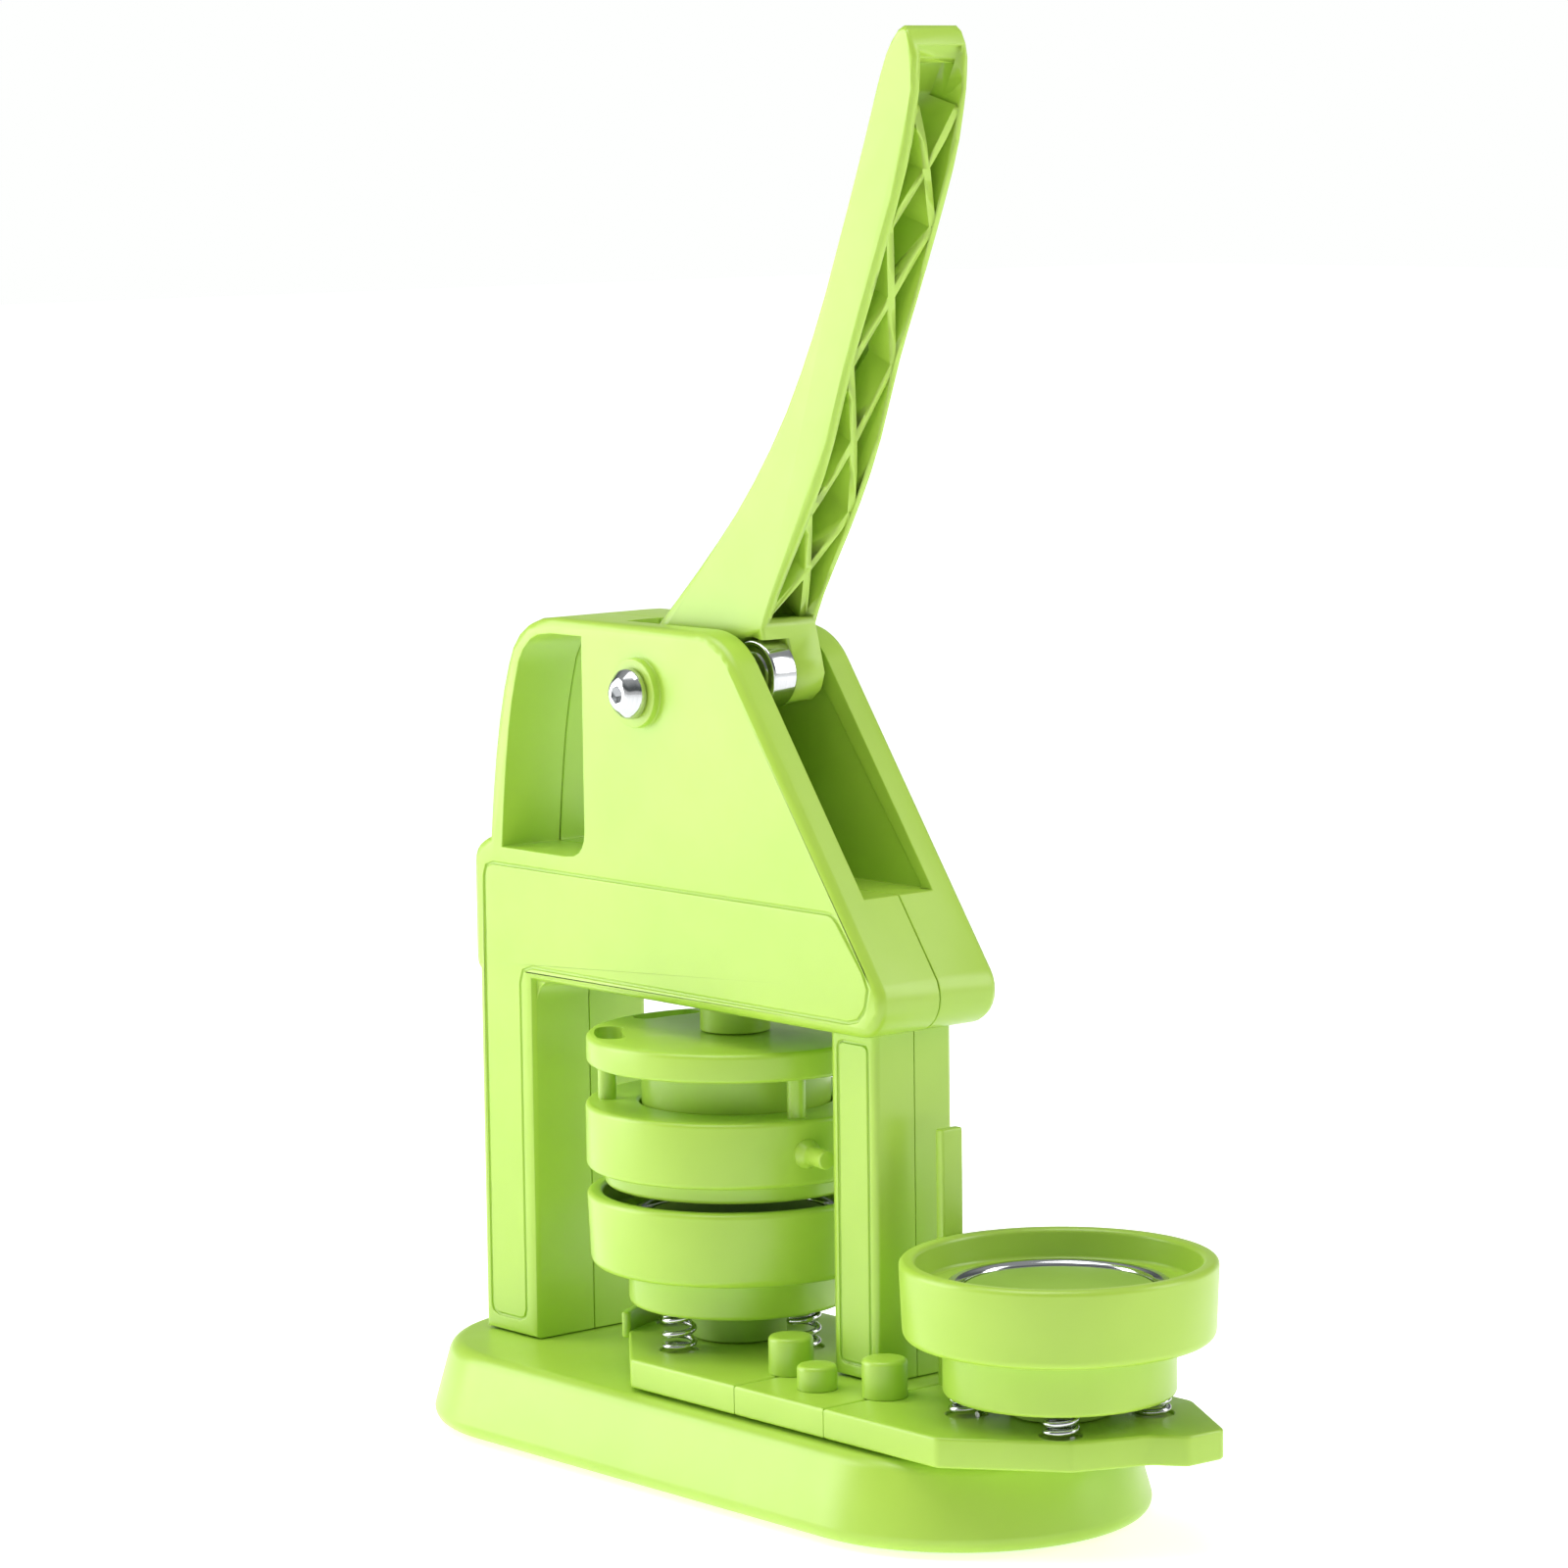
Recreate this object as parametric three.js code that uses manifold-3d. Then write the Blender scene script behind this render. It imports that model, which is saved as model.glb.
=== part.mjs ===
// A hand press for pin badges: a stadium-shaped base carries an arched frame made of two mirrored
// shells. A ribbed lever in the frame's slot turns on one bolt and presses a sprung ram with its
// roller. Under the ram a plate swings about the frame's right leg and brings one of two sprung
// lower dies under the upper die. Millimetres, +Z up. X runs along the base, -Y is the front, and
// the origin is the middle of the underside of the anti-slip pad.
import * as THREE from "three";
import { mergeVertices } from "three/addons/utils/BufferGeometryUtils.js";
import Module from "manifold-3d";

const wasm = await Module();
wasm.setup();

// ---------------------------------------------------------------- driving dimensions
const FIT = 0.3; // gap between pieces that touch
const SLIDE = 0.5; // radial gap of a sliding fit
const WALL = 3.2; // wall of the moulded shells

const BASE_LENGTH = 247;
const BASE_WIDTH = 101;
const BASE_HEIGHT = 24; // top face above the table
const BASE_DRAFT = 6; // how far the sides lean in from the lower edge to the top edge
const BASE_EDGE = 3.4; // rounding of the lower and upper edges
const PAD_THICKNESS = 1.5;
const BOTTOM_PLATE_THICKNESS = 2.4;

const FRAME_DEPTH = 41.4; // front face to rear face
const FRAME_HEIGHT = 204; // above the base
const GATE_HEIGHT = 102; // clear height under the frame
const BLOCK_LEFT = -105.6; // left face of the block above the left leg
const SHOULDER_HEIGHT = 139; // top of that block, where the hand hold starts
const BLOCK_CORNER = 4.5; // rounding under that block's outer edge
const LEFT_LEG_WIDTH = 23.5;
const LEFT_LEG_STEP = 2; // the block stands out this far over the left leg
const RIGHT_LEG_WIDTH = 18.2;
const RIGHT_LEG_DEPTH = 27;
const SLOPE_ANGLE = 54.8; // front slope of the frame, degrees from level
const SHOULDER_RADIUS = 20; // between the flat top and the slope
const NOSE_RADIUS = 9.5;
const NOSE_REACH = 19.6; // nose tip beyond the swivel axis
const EDGE_FILLET = 2.4; // rounded edges of the frame's front and rear faces
const LEG_EDGE = 1.8; // rounded edges of the legs
const ROOT_FILLET = 6; // between the left leg and the underside
const GROOVE = 0.9; // width and depth of the decorative groove
const GROOVE_INSET = 3.2;

const HOLD_LEFT = -93; // hand hold: left side at its floor
const HOLD_RIGHT = -55; // hand hold: right side
const HOLD_FLOOR = 138.5;
const HOLD_TOP = 199.6;
const HOLD_WALL = 5.2; // wall of the hand hold's bow

const SWIVEL_X = 47; // axis of the swinging plate, in the right leg
const DIE_REACH = 63.5; // each die's axis from the swivel axis
const PLATE_THICKNESS = 8;
const PLATE_GAP = 1; // plate above the base
const PLATE_FRONT = 40.6; // front and rear edges from the swivel axis
const PLATE_REAR = 34.5;
const PLATE_CORNER = 61; // where the long front chamfer starts, from the swivel axis
const PLATE_NECK = 88; // where the front chamfer ends
const PLATE_END = 104.3; // end of the finger tab
const PLATE_SPLIT = 17.8; // parting between the hub plate and a carrier
const SWIVEL_PIN_RADIUS = 6;
const LIP_WALL = 2.6; // raised lip at the end of carrier A
const LIP_RISE = 5.2;

const DIE_RADIUS = 41; // cups, crimp ring and top disc
const DISC_RADIUS = 40.6;
const CUP_BORE = 36.8;
const CUP_SKIRT_HEIGHT = 20.5; // outer wall of a lower cup
const NECK_RADIUS = 30;
const HUB_RADIUS = 13;
const CUP_A_RIM = 50.4; // rim heights above the base
const CUP_B_RIM = 49.5;
const NECK_A_BOTTOM = 19.1;
const NECK_B_BOTTOM = 14.7;
const CUP_DEPTH = 8; // rim to the ledge round the steel ring
const STEEL_RING_OUTER = 29.3;
const STEEL_RING_INNER = 25.1;
const STEEL_RING_HEIGHT = 3.6;
const CORE_PLATE = 2.6; // plate under the steel ring that stops the cup
const STEEL_RING_DEPTH = 6.1; // rim to the top of the steel ring
const CORE_DEPTH = 7.4; // rim to the centre disc
const DIE_SPRING_RADIUS = 4.8;
const DIE_SPRING_CIRCLE = 23.8;
const DIE_SPRING_WIRE = 1.7;
const DIE_SPRING_TURNS = 4.6;
const SPRING_ANGLE_A = -83; // first of four springs, degrees from +X
const SPRING_ANGLE_B = -43;
const SPRING_POCKET = 0.8; // depth of a spring's seat in the carrier
const CUP_POCKET = 6; // depth of a spring's pocket in the cup's neck

const RAM_RADIUS = 9.6;
const RAM_TOP = 160.6; // top of the ram's head above the base, lever up
const RAM_HEAD_RADIUS = RAM_RADIUS + 3;
const RAM_HEAD_THICKNESS = 7;
const WEAR_DISC = 2.4; // hardened disc let into the ram's head
const RETURN_WIRE = 1.9;
const GUIDE_HEIGHT = 20;
const DISC_THICKNESS = 7.9;
const DISC_TOP = 93.3;
const BOSS_RADIUS = 25.8;
const BOSS_BOTTOM = 73;
const RING_TOP = 74.7;
const RING_BOTTOM = 56.8;
const LIP_RADIUS = 36;
const LIP_BOTTOM = 52.1;
const RING_WEB_TOP = 64.7; // inner web that carries the ring's spring
const RING_WEB = 2.4;
const DIE_FACE = 55.6; // pressing face of the upper die
const POST_RADIUS = 2.5;
const POST_CIRCLE = 35.2;
const POST_ANGLE = -13; // first post and the side peg, degrees from +X
const RING_LIFT = 4.9; // how far the ring rides up the ram once it is stopped
const RING_TURN = 40; // turn of the crimp ring between its two positions
const SIDE_PEG_REACH = 52.4; // end of the side peg from the ram's axis

const LEVER_PIVOT_X = -30.5;
const LEVER_PIVOT_Z = 186;
const LEVER_WIDTH = 19.3;
const LEVER_EDGE = 0.8;
const LEVER_WEB = 3;
const LEVER_FLANGE = 2.4;
const SLOT_WIDTH = 24;
const SLOT_FLOOR = 137; // lower end of the lever's slot
const SLOT_START = -46; // left end of the slot in the top
const ROLLER_X = 3.8;
const ROLLER_Z = 192.3;
const ROLLER_RADIUS = 9.2;
const ROLLER_WIDTH = 8;
const ROLLER_Y = -5.4; // middle of the roller, which runs on the front end of its pin
const FORK_RADIUS = 8.3;
const PIN_RADIUS = 3;
const BOLT_RADIUS = 4;
const BOLT_HEAD_RADIUS = 6.9;
const BOLT_HEAD_HEIGHT = 5;
const COLLAR_RADIUS = 9.4;
const COLLAR_HEIGHT = 2.2;
const BUSH_WALL = 1.6;

const LOCK_PEG_RADIUS = 6;
const LOCK_PEG_HEIGHT = 10.2;
const LOCK_PEG_X = 18.65;
const LOCK_PEG_Y = -20;
const CENTRE_PEG_RADIUS = 5.3;
const CENTRE_PEG_HEIGHT = 6.6;
const CENTRE_PEG_Y = -27.1;
const TOGGLE_INNER = 18.3; // the toggle bar's near face from the swivel axis
const TOGGLE_THICKNESS = 3;
const TOGGLE_FRONT = -1.3;
const TOGGLE_DEPTH = 7.2;
const TOGGLE_TOP = 77;
const SCREW_RADIUS = 2;
const SCREW_HEAD_RADIUS = 3.6;

const DIE_ROUND = 36; // facets round the dies
const ROUND = 28; // facets round a large cylinder
const SMALL_ROUND = 10;

// ---------------------------------------------------------------- values worked out from them
const TABLE = BASE_HEIGHT; // heights above the base become heights above the table with this
const PLATE_BOTTOM = TABLE + PLATE_GAP;
const PLATE_TOP = PLATE_BOTTOM + PLATE_THICKNESS;
const RAM_X = SWIVEL_X - DIE_REACH;
const FACE = FRAME_DEPTH / 2;
const FRAME_BOTTOM = TABLE + FIT;
const FRAME_TOP = TABLE + FRAME_HEIGHT;
const UNDERSIDE = TABLE + GATE_HEIGHT;
const RIGHT_LEG_BOTTOM = PLATE_TOP + FIT;
const LEFT_LEG_LEFT = BLOCK_LEFT + LEFT_LEG_STEP;
const LEFT_LEG_RIGHT = LEFT_LEG_LEFT + LEFT_LEG_WIDTH;
const FORK_BACK = ROLLER_Y + ROLLER_WIDTH / 2 + FIT; // rear wall of the roller's notch
const rad = (degrees) => (degrees * Math.PI) / 180;

// ---------------------------------------------------------------- materials
const plastic = (color) => new THREE.MeshStandardMaterial({ color, roughness: 0.28, metalness: 0 });
const steel = (color, roughness) => new THREE.MeshStandardMaterial({ color, roughness, metalness: 1 });
const GREEN = plastic("#a9d84c");
const DARK_GREEN = plastic("#8fc22f");
const NYLON = plastic("#e9e7dd");
const CHROME = steel("#d9dadb", 0.12);
const ZINC = steel("#b9bcbf", 0.34);
const RUBBER = new THREE.MeshStandardMaterial({ color: "#2b2c2b", roughness: 0.9, metalness: 0 });

// ---------------------------------------------------------------- solids
// A closed three.js geometry as a solid; a profile drawn the other way round is turned outwards.
function solid(geometry) {
  const bare = geometry.index ? geometry.toNonIndexed() : geometry.clone();
  const points = new THREE.BufferGeometry().setAttribute("position", bare.getAttribute("position"));
  const merged = mergeVertices(points, 1e-4);
  const vertProperties = merged.attributes.position.array;
  const index = Array.from(merged.index.array);
  const kept = [];
  for (let i = 0; i < index.length; i += 3) {
    const [a, b, c] = index.slice(i, i + 3);
    if (a !== b && b !== c && c !== a) kept.push(a, b, c);
  }
  const make = (triVerts) => new wasm.Manifold(new wasm.Mesh({ numProp: 3, vertProperties, triVerts }));
  const made = make(new Uint32Array(kept));
  if (made.volume() >= 0) return made;
  const turned = [];
  for (let i = 0; i < kept.length; i += 3) turned.push(kept[i], kept[i + 2], kept[i + 1]);
  return make(new Uint32Array(turned));
}

const join = (...solids) => solids.reduce((a, b) => a.add(b));
const cut = (body, ...tools) => tools.reduce((a, b) => a.subtract(b), body);

function block(x0, x1, y0, y1, z0, z1) {
  const geometry = new THREE.BoxGeometry(x1 - x0, y1 - y0, z1 - z0);
  return solid(geometry.translate((x0 + x1) / 2, (y0 + y1) / 2, (z0 + z1) / 2));
}

// A cylinder along Z from z0 to z1.
function rod(radius, x, y, z0, z1, sides = ROUND, topRadius = radius) {
  const geometry = new THREE.CylinderGeometry(topRadius, radius, z1 - z0, sides);
  return solid(geometry.rotateX(Math.PI / 2).translate(x, y, (z0 + z1) / 2));
}

// A cylinder along Y from y0 to y1.
function crossRod(radius, x, z, y0, y1, sides = ROUND) {
  const geometry = new THREE.CylinderGeometry(radius, radius, y1 - y0, sides);
  return solid(geometry.translate(x, (y0 + y1) / 2, z));
}

// A body of revolution about a vertical axis; the profile is a list of [radius, height].
function turned(profile, x, y, sides = ROUND) {
  const points = profile.map(([r, z]) => new THREE.Vector2(r, z));
  const closed = profile[0][0] > 0 ? [...points, points[0]] : points;
  const geometry = new THREE.LatheGeometry(closed, sides);
  return solid(geometry.rotateX(Math.PI / 2).translate(x, y, 0));
}

// The centre line of a coil spring standing on Z.
class Coil extends THREE.Curve {
  constructor(radius, turns, z0, z1) {
    super();
    Object.assign(this, { radius, turns, z0, z1 });
  }

  getPoint(t, target = new THREE.Vector3()) {
    const a = 2 * Math.PI * this.turns * t;
    return target.set(this.radius * Math.cos(a), this.radius * Math.sin(a), this.z0 + t * (this.z1 - this.z0));
  }
}

// A coil spring of round wire between two seats, from its outer radius.
function coilSpring(outer, wire, turns, x, y, z0, z1, sides = 4, perTurn = 6) {
  const path = new Coil(outer - wire / 2, turns, z0 + wire / 2, z1 - wire / 2);
  const section = new THREE.Shape();
  for (let i = 0; i < sides; i += 1) {
    const a = (2 * Math.PI * i) / sides;
    const move = i === 0 ? "moveTo" : "lineTo";
    section[move]((wire / 2) * Math.cos(a), (wire / 2) * Math.sin(a));
  }
  section.closePath();
  const steps = Math.round(turns * perTurn);
  const geometry = new THREE.ExtrudeGeometry(section, { steps, bevelEnabled: false, extrudePath: path });
  return solid(geometry.translate(x, y, 0));
}

// The profile of a ring with chamfered outer edges, from its radii and heights.
function ringProfile(inner, outer, z0, z1, edge = 0) {
  if (edge === 0) return [[inner, z0], [outer, z0], [outer, z1], [inner, z1]];
  return [
    [inner, z0], [outer - edge, z0], [outer, z0 + edge],
    [outer, z1 - edge], [outer - edge, z1], [inner, z1],
  ];
}

// An outline in X and Z carried along Y from y0 to y1.
function plateXZ(shape, y0, y1, curveSegments = 5) {
  const geometry = new THREE.ExtrudeGeometry(shape, { depth: y1 - y0, bevelEnabled: false, curveSegments });
  return solid(geometry.rotateX(Math.PI / 2).translate(0, y1, 0));
}

// The same with the outer edges of both end faces rounded.
function softPlateXZ(shape, y0, y1, edge, curveSegments = 5, bevelSegments = 2) {
  const depth = y1 - y0 - 2 * edge;
  const points = shape.getPoints(curveSegments);
  const kept = points.filter((p, i) => p.distanceTo(points[(i + 1) % points.length]) > 0.05);
  const geometry = new THREE.ExtrudeGeometry(new THREE.Shape(kept), {
    depth, curveSegments, bevelEnabled: true, bevelThickness: edge, bevelSize: edge, bevelOffset: -edge, bevelSegments,
  });
  return solid(geometry.rotateX(Math.PI / 2).translate(0, y1 - edge, 0));
}

// An outline in X and Y carried up from z0 to z1.
function plateXY(shape, z0, z1, curveSegments = 6) {
  const geometry = new THREE.ExtrudeGeometry(shape, { depth: z1 - z0, bevelEnabled: false, curveSegments });
  return solid(geometry.translate(0, 0, z0));
}

const vec = ([x, y]) => new THREE.Vector2(x, y);
const outline = (points) => new THREE.Shape(points.map(vec));

// A polygon whose corners are rounded: each corner is [x, y, radius].
function rounded(corners) {
  const path = new THREE.Shape();
  corners.forEach(([x, y, radius = 0], i) => {
    const here = new THREE.Vector2(x, y);
    const before = vec(corners[(i + corners.length - 1) % corners.length]);
    const after = vec(corners[(i + 1) % corners.length]);
    const toBefore = before.sub(here);
    const toAfter = after.sub(here);
    const half = Math.abs(toBefore.angleTo(toAfter)) / 2;
    const wanted = radius / Math.tan(half);
    const length = Math.min(wanted, 0.48 * toBefore.length(), 0.48 * toAfter.length());
    const start = here.clone().add(toBefore.setLength(length));
    const end = here.clone().add(toAfter.setLength(length));
    if (i === 0) path.moveTo(start.x, start.y);
    else path.lineTo(start.x, start.y);
    if (radius > 0) path.quadraticCurveTo(here.x, here.y, end.x, end.y);
  });
  path.closePath();
  return path;
}

const object = new THREE.Group();

function put(name, body, material) {
  const { numProp, vertProperties, triVerts } = body.getMesh();
  const position = [];
  for (let i = 0; i < vertProperties.length; i += numProp) {
    position.push(vertProperties[i], vertProperties[i + 1], vertProperties[i + 2]);
  }
  const geometry = new THREE.BufferGeometry();
  geometry.setAttribute("position", new THREE.Float32BufferAttribute(position, 3));
  geometry.setIndex(Array.from(triVerts));
  geometry.computeVertexNormals();
  const mesh = new THREE.Mesh(geometry, material);
  mesh.name = name;
  object.add(mesh);
}

// ---------------------------------------------------------------- base
// A stadium solid: its half section, a list of [distance from the middle line, height], is turned
// at both ends and carried straight between them. The end radius is the section's widest point.
function stadium(length, width, halfSection) {
  const centre = length / 2 - width / 2;
  const mirrored = [...halfSection, ...halfSection.slice().reverse().map(([d, z]) => [-d, z])];
  const side = new THREE.ExtrudeGeometry(outline(mirrored), { depth: 2 * centre, bevelEnabled: false });
  side.rotateX(Math.PI / 2).rotateZ(Math.PI / 2).translate(-centre, 0, 0);
  const ends = [-centre, centre].map((x) => turned([[0, halfSection[0][1]], ...halfSection,
    [0, halfSection[halfSection.length - 1][1]]], x, 0, 36));
  return join(solid(side), ...ends);
}

function baseSection(inset, bottom, top) {
  const half = BASE_WIDTH / 2 - inset;
  const edge = Math.max(BASE_EDGE - inset, 0.6);
  const lean = (z) => (BASE_DRAFT * (z - PAD_THICKNESS)) / BASE_HEIGHT;
  return [
    [half - edge, bottom],
    [half - 0.3 * edge, bottom + 0.3 * edge],
    [half, bottom + edge],
    [half - lean(top - edge), top - edge],
    [half - lean(top) - 0.3 * edge, top - 0.3 * edge],
    [half - lean(top) - edge, top],
  ];
}

const LEG_BOLT_X = (LEFT_LEG_LEFT + LEFT_LEG_RIGHT) / 2;
const LEG_BOLT_Y = [-10, 10];
const BOTTOM_SCREWS = [[-60, -28], [-60, 28], [70, -28], [70, 28]];
const SHELL_BOTTOM = PAD_THICKNESS;
const PLATE_RECESS = BOTTOM_PLATE_THICKNESS + FIT;
const BASE_CEILING = BASE_HEIGHT - WALL;
const SCREW_HEAD_HEIGHT = 2.2;

function makeBase() {
  const inner = BASE_DRAFT + WALL + 2;
  const hollow = stadium(BASE_LENGTH - 2 * inner, BASE_WIDTH - 2 * inner, [
    [BASE_WIDTH / 2 - inner, SHELL_BOTTOM - 1],
    [BASE_WIDTH / 2 - inner, BASE_CEILING],
  ]);
  const recess = BASE_DRAFT + WALL;
  const step = stadium(BASE_LENGTH - 2 * recess, BASE_WIDTH - 2 * recess, [
    [BASE_WIDTH / 2 - recess, SHELL_BOTTOM - 1],
    [BASE_WIDTH / 2 - recess, SHELL_BOTTOM + PLATE_RECESS],
  ]);
  const bossBottom = SHELL_BOTTOM + PLATE_RECESS;
  const bosses = BOTTOM_SCREWS.map(([x, y]) => rod(5, x, y, bossBottom, BASE_CEILING + 1, SMALL_ROUND));
  const pilots = BOTTOM_SCREWS.map(([x, y]) => rod(SCREW_RADIUS + FIT, x, y, 0, BASE_HEIGHT - 5, SMALL_ROUND));
  const legHoles = LEG_BOLT_Y.map((y) => rod(SCREW_RADIUS + FIT, LEG_BOLT_X, y, 0, BASE_HEIGHT + 1, SMALL_ROUND));
  const pinBoss = rod(SWIVEL_PIN_RADIUS + 5, SWIVEL_X, 0, BASE_CEILING - 7, BASE_CEILING + 1);
  const pinHole = rod(SWIVEL_PIN_RADIUS + FIT, SWIVEL_X, 0, 0, BASE_HEIGHT + 1, 24);
  let shell = stadium(BASE_LENGTH, BASE_WIDTH, baseSection(0, SHELL_BOTTOM, BASE_HEIGHT));
  shell = join(cut(shell, hollow, step), ...bosses, pinBoss);
  put("base_shell", cut(shell, ...pilots, ...legHoles, pinHole), GREEN);

  const plateInset = recess + FIT;
  let plate = stadium(BASE_LENGTH - 2 * plateInset, BASE_WIDTH - 2 * plateInset, [
    [BASE_WIDTH / 2 - plateInset, SHELL_BOTTOM],
    [BASE_WIDTH / 2 - plateInset, SHELL_BOTTOM + BOTTOM_PLATE_THICKNESS],
  ]);
  plate = cut(plate, ...BOTTOM_SCREWS.map(([x, y]) => rod(SCREW_RADIUS + FIT, x, y, 0, 9, SMALL_ROUND)));
  put("base_bottom_plate", plate, DARK_GREEN);

  const padInset = plateInset + 2.5;
  let pad = stadium(BASE_LENGTH - 2 * padInset, BASE_WIDTH - 2 * padInset, [
    [BASE_WIDTH / 2 - padInset, 0],
    [BASE_WIDTH / 2 - padInset, PAD_THICKNESS - FIT],
  ]);
  const padHoles = BOTTOM_SCREWS.map(([x, y]) => rod(SCREW_HEAD_RADIUS + 1, x, y, -1, 4, SMALL_ROUND));
  pad = cut(pad, ...padHoles);
  put("anti_slip_pad", pad, RUBBER);
  BOTTOM_SCREWS.forEach(([x, y], i) => {
    const shank = rod(SCREW_RADIUS, x, y, 0.4, BASE_HEIGHT - 6, SMALL_ROUND);
    const head = rod(SCREW_HEAD_RADIUS, x, y, 0.4, SHELL_BOTTOM - FIT, SMALL_ROUND);
    put(`bottom_screw_${i + 1}`, join(shank, head), ZINC);
  });
  LEG_BOLT_Y.forEach((y, i) => {
    const shank = rod(SCREW_RADIUS, LEG_BOLT_X, y, BASE_CEILING - FIT, BASE_HEIGHT + 22, SMALL_ROUND);
    const head = rod(SCREW_HEAD_RADIUS, LEG_BOLT_X, y, BASE_CEILING - FIT - SCREW_HEAD_HEIGHT,
      BASE_CEILING - FIT, SMALL_ROUND);
    put(`leg_screw_${i + 1}`, join(shank, head), ZINC);
  });
}

// ---------------------------------------------------------------- frame shells
// Where the slope's line lies: it leaves the nose's circle and runs up to the shoulder.
const NOSE_X = SWIVEL_X + NOSE_REACH - NOSE_RADIUS;
const NOSE_Z = UNDERSIDE + NOSE_RADIUS;
const SLOPE_NORMAL = rad(90 - SLOPE_ANGLE);

// X of the slope's surface at height z, moved in by the given inset.
function slopeX(z, inset = 0) {
  const reach = NOSE_RADIUS - inset;
  return NOSE_X + (reach - (z - NOSE_Z) * Math.sin(SLOPE_NORMAL)) / Math.cos(SLOPE_NORMAL);
}

function arc(path, cx, cz, radius, fromDegrees, toDegrees, clockwise) {
  path.absarc(cx, cz, radius, rad(fromDegrees), rad(toDegrees), clockwise);
}

// The frame's outline above the legs.
function frameOutline() {
  const shape = new THREE.Shape();
  const left = BLOCK_LEFT;
  const top = FRAME_TOP;
  const floor = UNDERSIDE;
  const bowLeft = HOLD_LEFT - HOLD_WALL;
  const shoulder = TABLE + SHOULDER_HEIGHT;
  shape.moveTo(left + BLOCK_CORNER, floor);
  shape.quadraticCurveTo(left, floor, left, floor + BLOCK_CORNER);
  shape.lineTo(left, shoulder - 6);
  shape.quadraticCurveTo(left, shoulder, bowLeft, shoulder + 2);
  shape.quadraticCurveTo(bowLeft + 3, shoulder + 34, bowLeft + 9.5, TABLE + 190);
  shape.quadraticCurveTo(bowLeft + 14, top, bowLeft + 30, top);
  const shoulderZ = top - SHOULDER_RADIUS;
  const shoulderX = slopeX(FRAME_TOP - SHOULDER_RADIUS) - SHOULDER_RADIUS / Math.cos(SLOPE_NORMAL);
  arc(shape, shoulderX, shoulderZ, SHOULDER_RADIUS, 90, 90 - SLOPE_ANGLE, true);
  arc(shape, NOSE_X, NOSE_Z, NOSE_RADIUS, 90 - SLOPE_ANGLE, -90, true);
  shape.closePath();
  return shape;
}

function holdOutline(grow) {
  const top = TABLE + HOLD_TOP + grow;
  const floor = TABLE + HOLD_FLOOR - grow;
  const right = HOLD_RIGHT + grow;
  const left = HOLD_LEFT - grow;
  const shape = new THREE.Shape();
  shape.moveTo(left + 1, floor);
  shape.quadraticCurveTo(left + 4, floor + 34, left + 8.5, top - 14);
  shape.quadraticCurveTo(left + 11.5, top, left + 24, top);
  shape.lineTo(right, top);
  shape.lineTo(right, floor + 8);
  shape.quadraticCurveTo(right, floor, right - 8, floor);
  shape.closePath();
  return shape;
}

// The groove that outlines the lower panel and the left leg, as its centre line's corners.
function panelGroove() {
  const left = LEFT_LEG_LEFT + GROOVE_INSET;
  const legRight = LEFT_LEG_RIGHT - GROOVE_INSET - 1.4;
  const top = TABLE + 133.6;
  const low = UNDERSIDE + GROOVE_INSET + 0.6;
  const nose = SWIVEL_X + NOSE_REACH - GROOVE_INSET - 1.6;
  return [
    [left, TABLE + 5, 3], [left, top, 4], [slopeX(top, GROOVE_INSET + 1), top, 5],
    [nose + 1, NOSE_Z + 4, 9], [nose - 4, low, 7], [legRight, low, 5], [legRight, TABLE + 5, 3],
  ];
}

function legGroove() {
  const half = RIGHT_LEG_WIDTH / 2 - GROOVE_INSET;
  return [
    [SWIVEL_X - half, RIGHT_LEG_BOTTOM + 4, 2], [SWIVEL_X - half, UNDERSIDE - 3, 2],
    [SWIVEL_X + half, UNDERSIDE - 3, 2], [SWIVEL_X + half, RIGHT_LEG_BOTTOM + 4, 2],
  ];
}

// A groove of the given width along a rounded loop, cut into a face at the given depth range.
function grooveTool(corners, y0, y1) {
  const line = rounded(corners).getPoints(2);
  const wide = offsetLoop(line, GROOVE / 2);
  const narrow = offsetLoop(line, -GROOVE / 2);
  return cut(plateXZ(new THREE.Shape(wide), y0, y1), plateXZ(new THREE.Shape(narrow), y0 - 1, y1 + 1));
}

// Moves each point of a closed loop sideways along the mean of its two edges' normals.
function offsetLoop(points, distance) {
  const loop = points.filter((p, i) => p.distanceTo(points[(i + 1) % points.length]) > 0.05);
  const turn = Math.sign(THREE.ShapeUtils.area(loop));
  return loop.map((p, i) => {
    const before = p.clone().sub(loop[(i + loop.length - 1) % loop.length]).normalize();
    const after = loop[(i + 1) % loop.length].clone().sub(p).normalize();
    const along = before.add(after).normalize();
    return new THREE.Vector2(p.x + turn * along.y * distance, p.y - turn * along.x * distance);
  });
}

const FRAME_SCREWS = [
  [LEG_BOLT_X, TABLE + 62], [-95, TABLE + 120], [-49, TABLE + 113], [35, TABLE + 113], [-49, TABLE + 191],
  [SWIVEL_X, TABLE + 72],
];
const GUIDE_FLANGE_RADIUS = RAM_RADIUS + 7;
const GUIDE_FLANGE = 3;
const PIN_TOP = RIGHT_LEG_BOTTOM + 34;
const SCREW_BOSS_RADIUS = 5;

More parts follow.
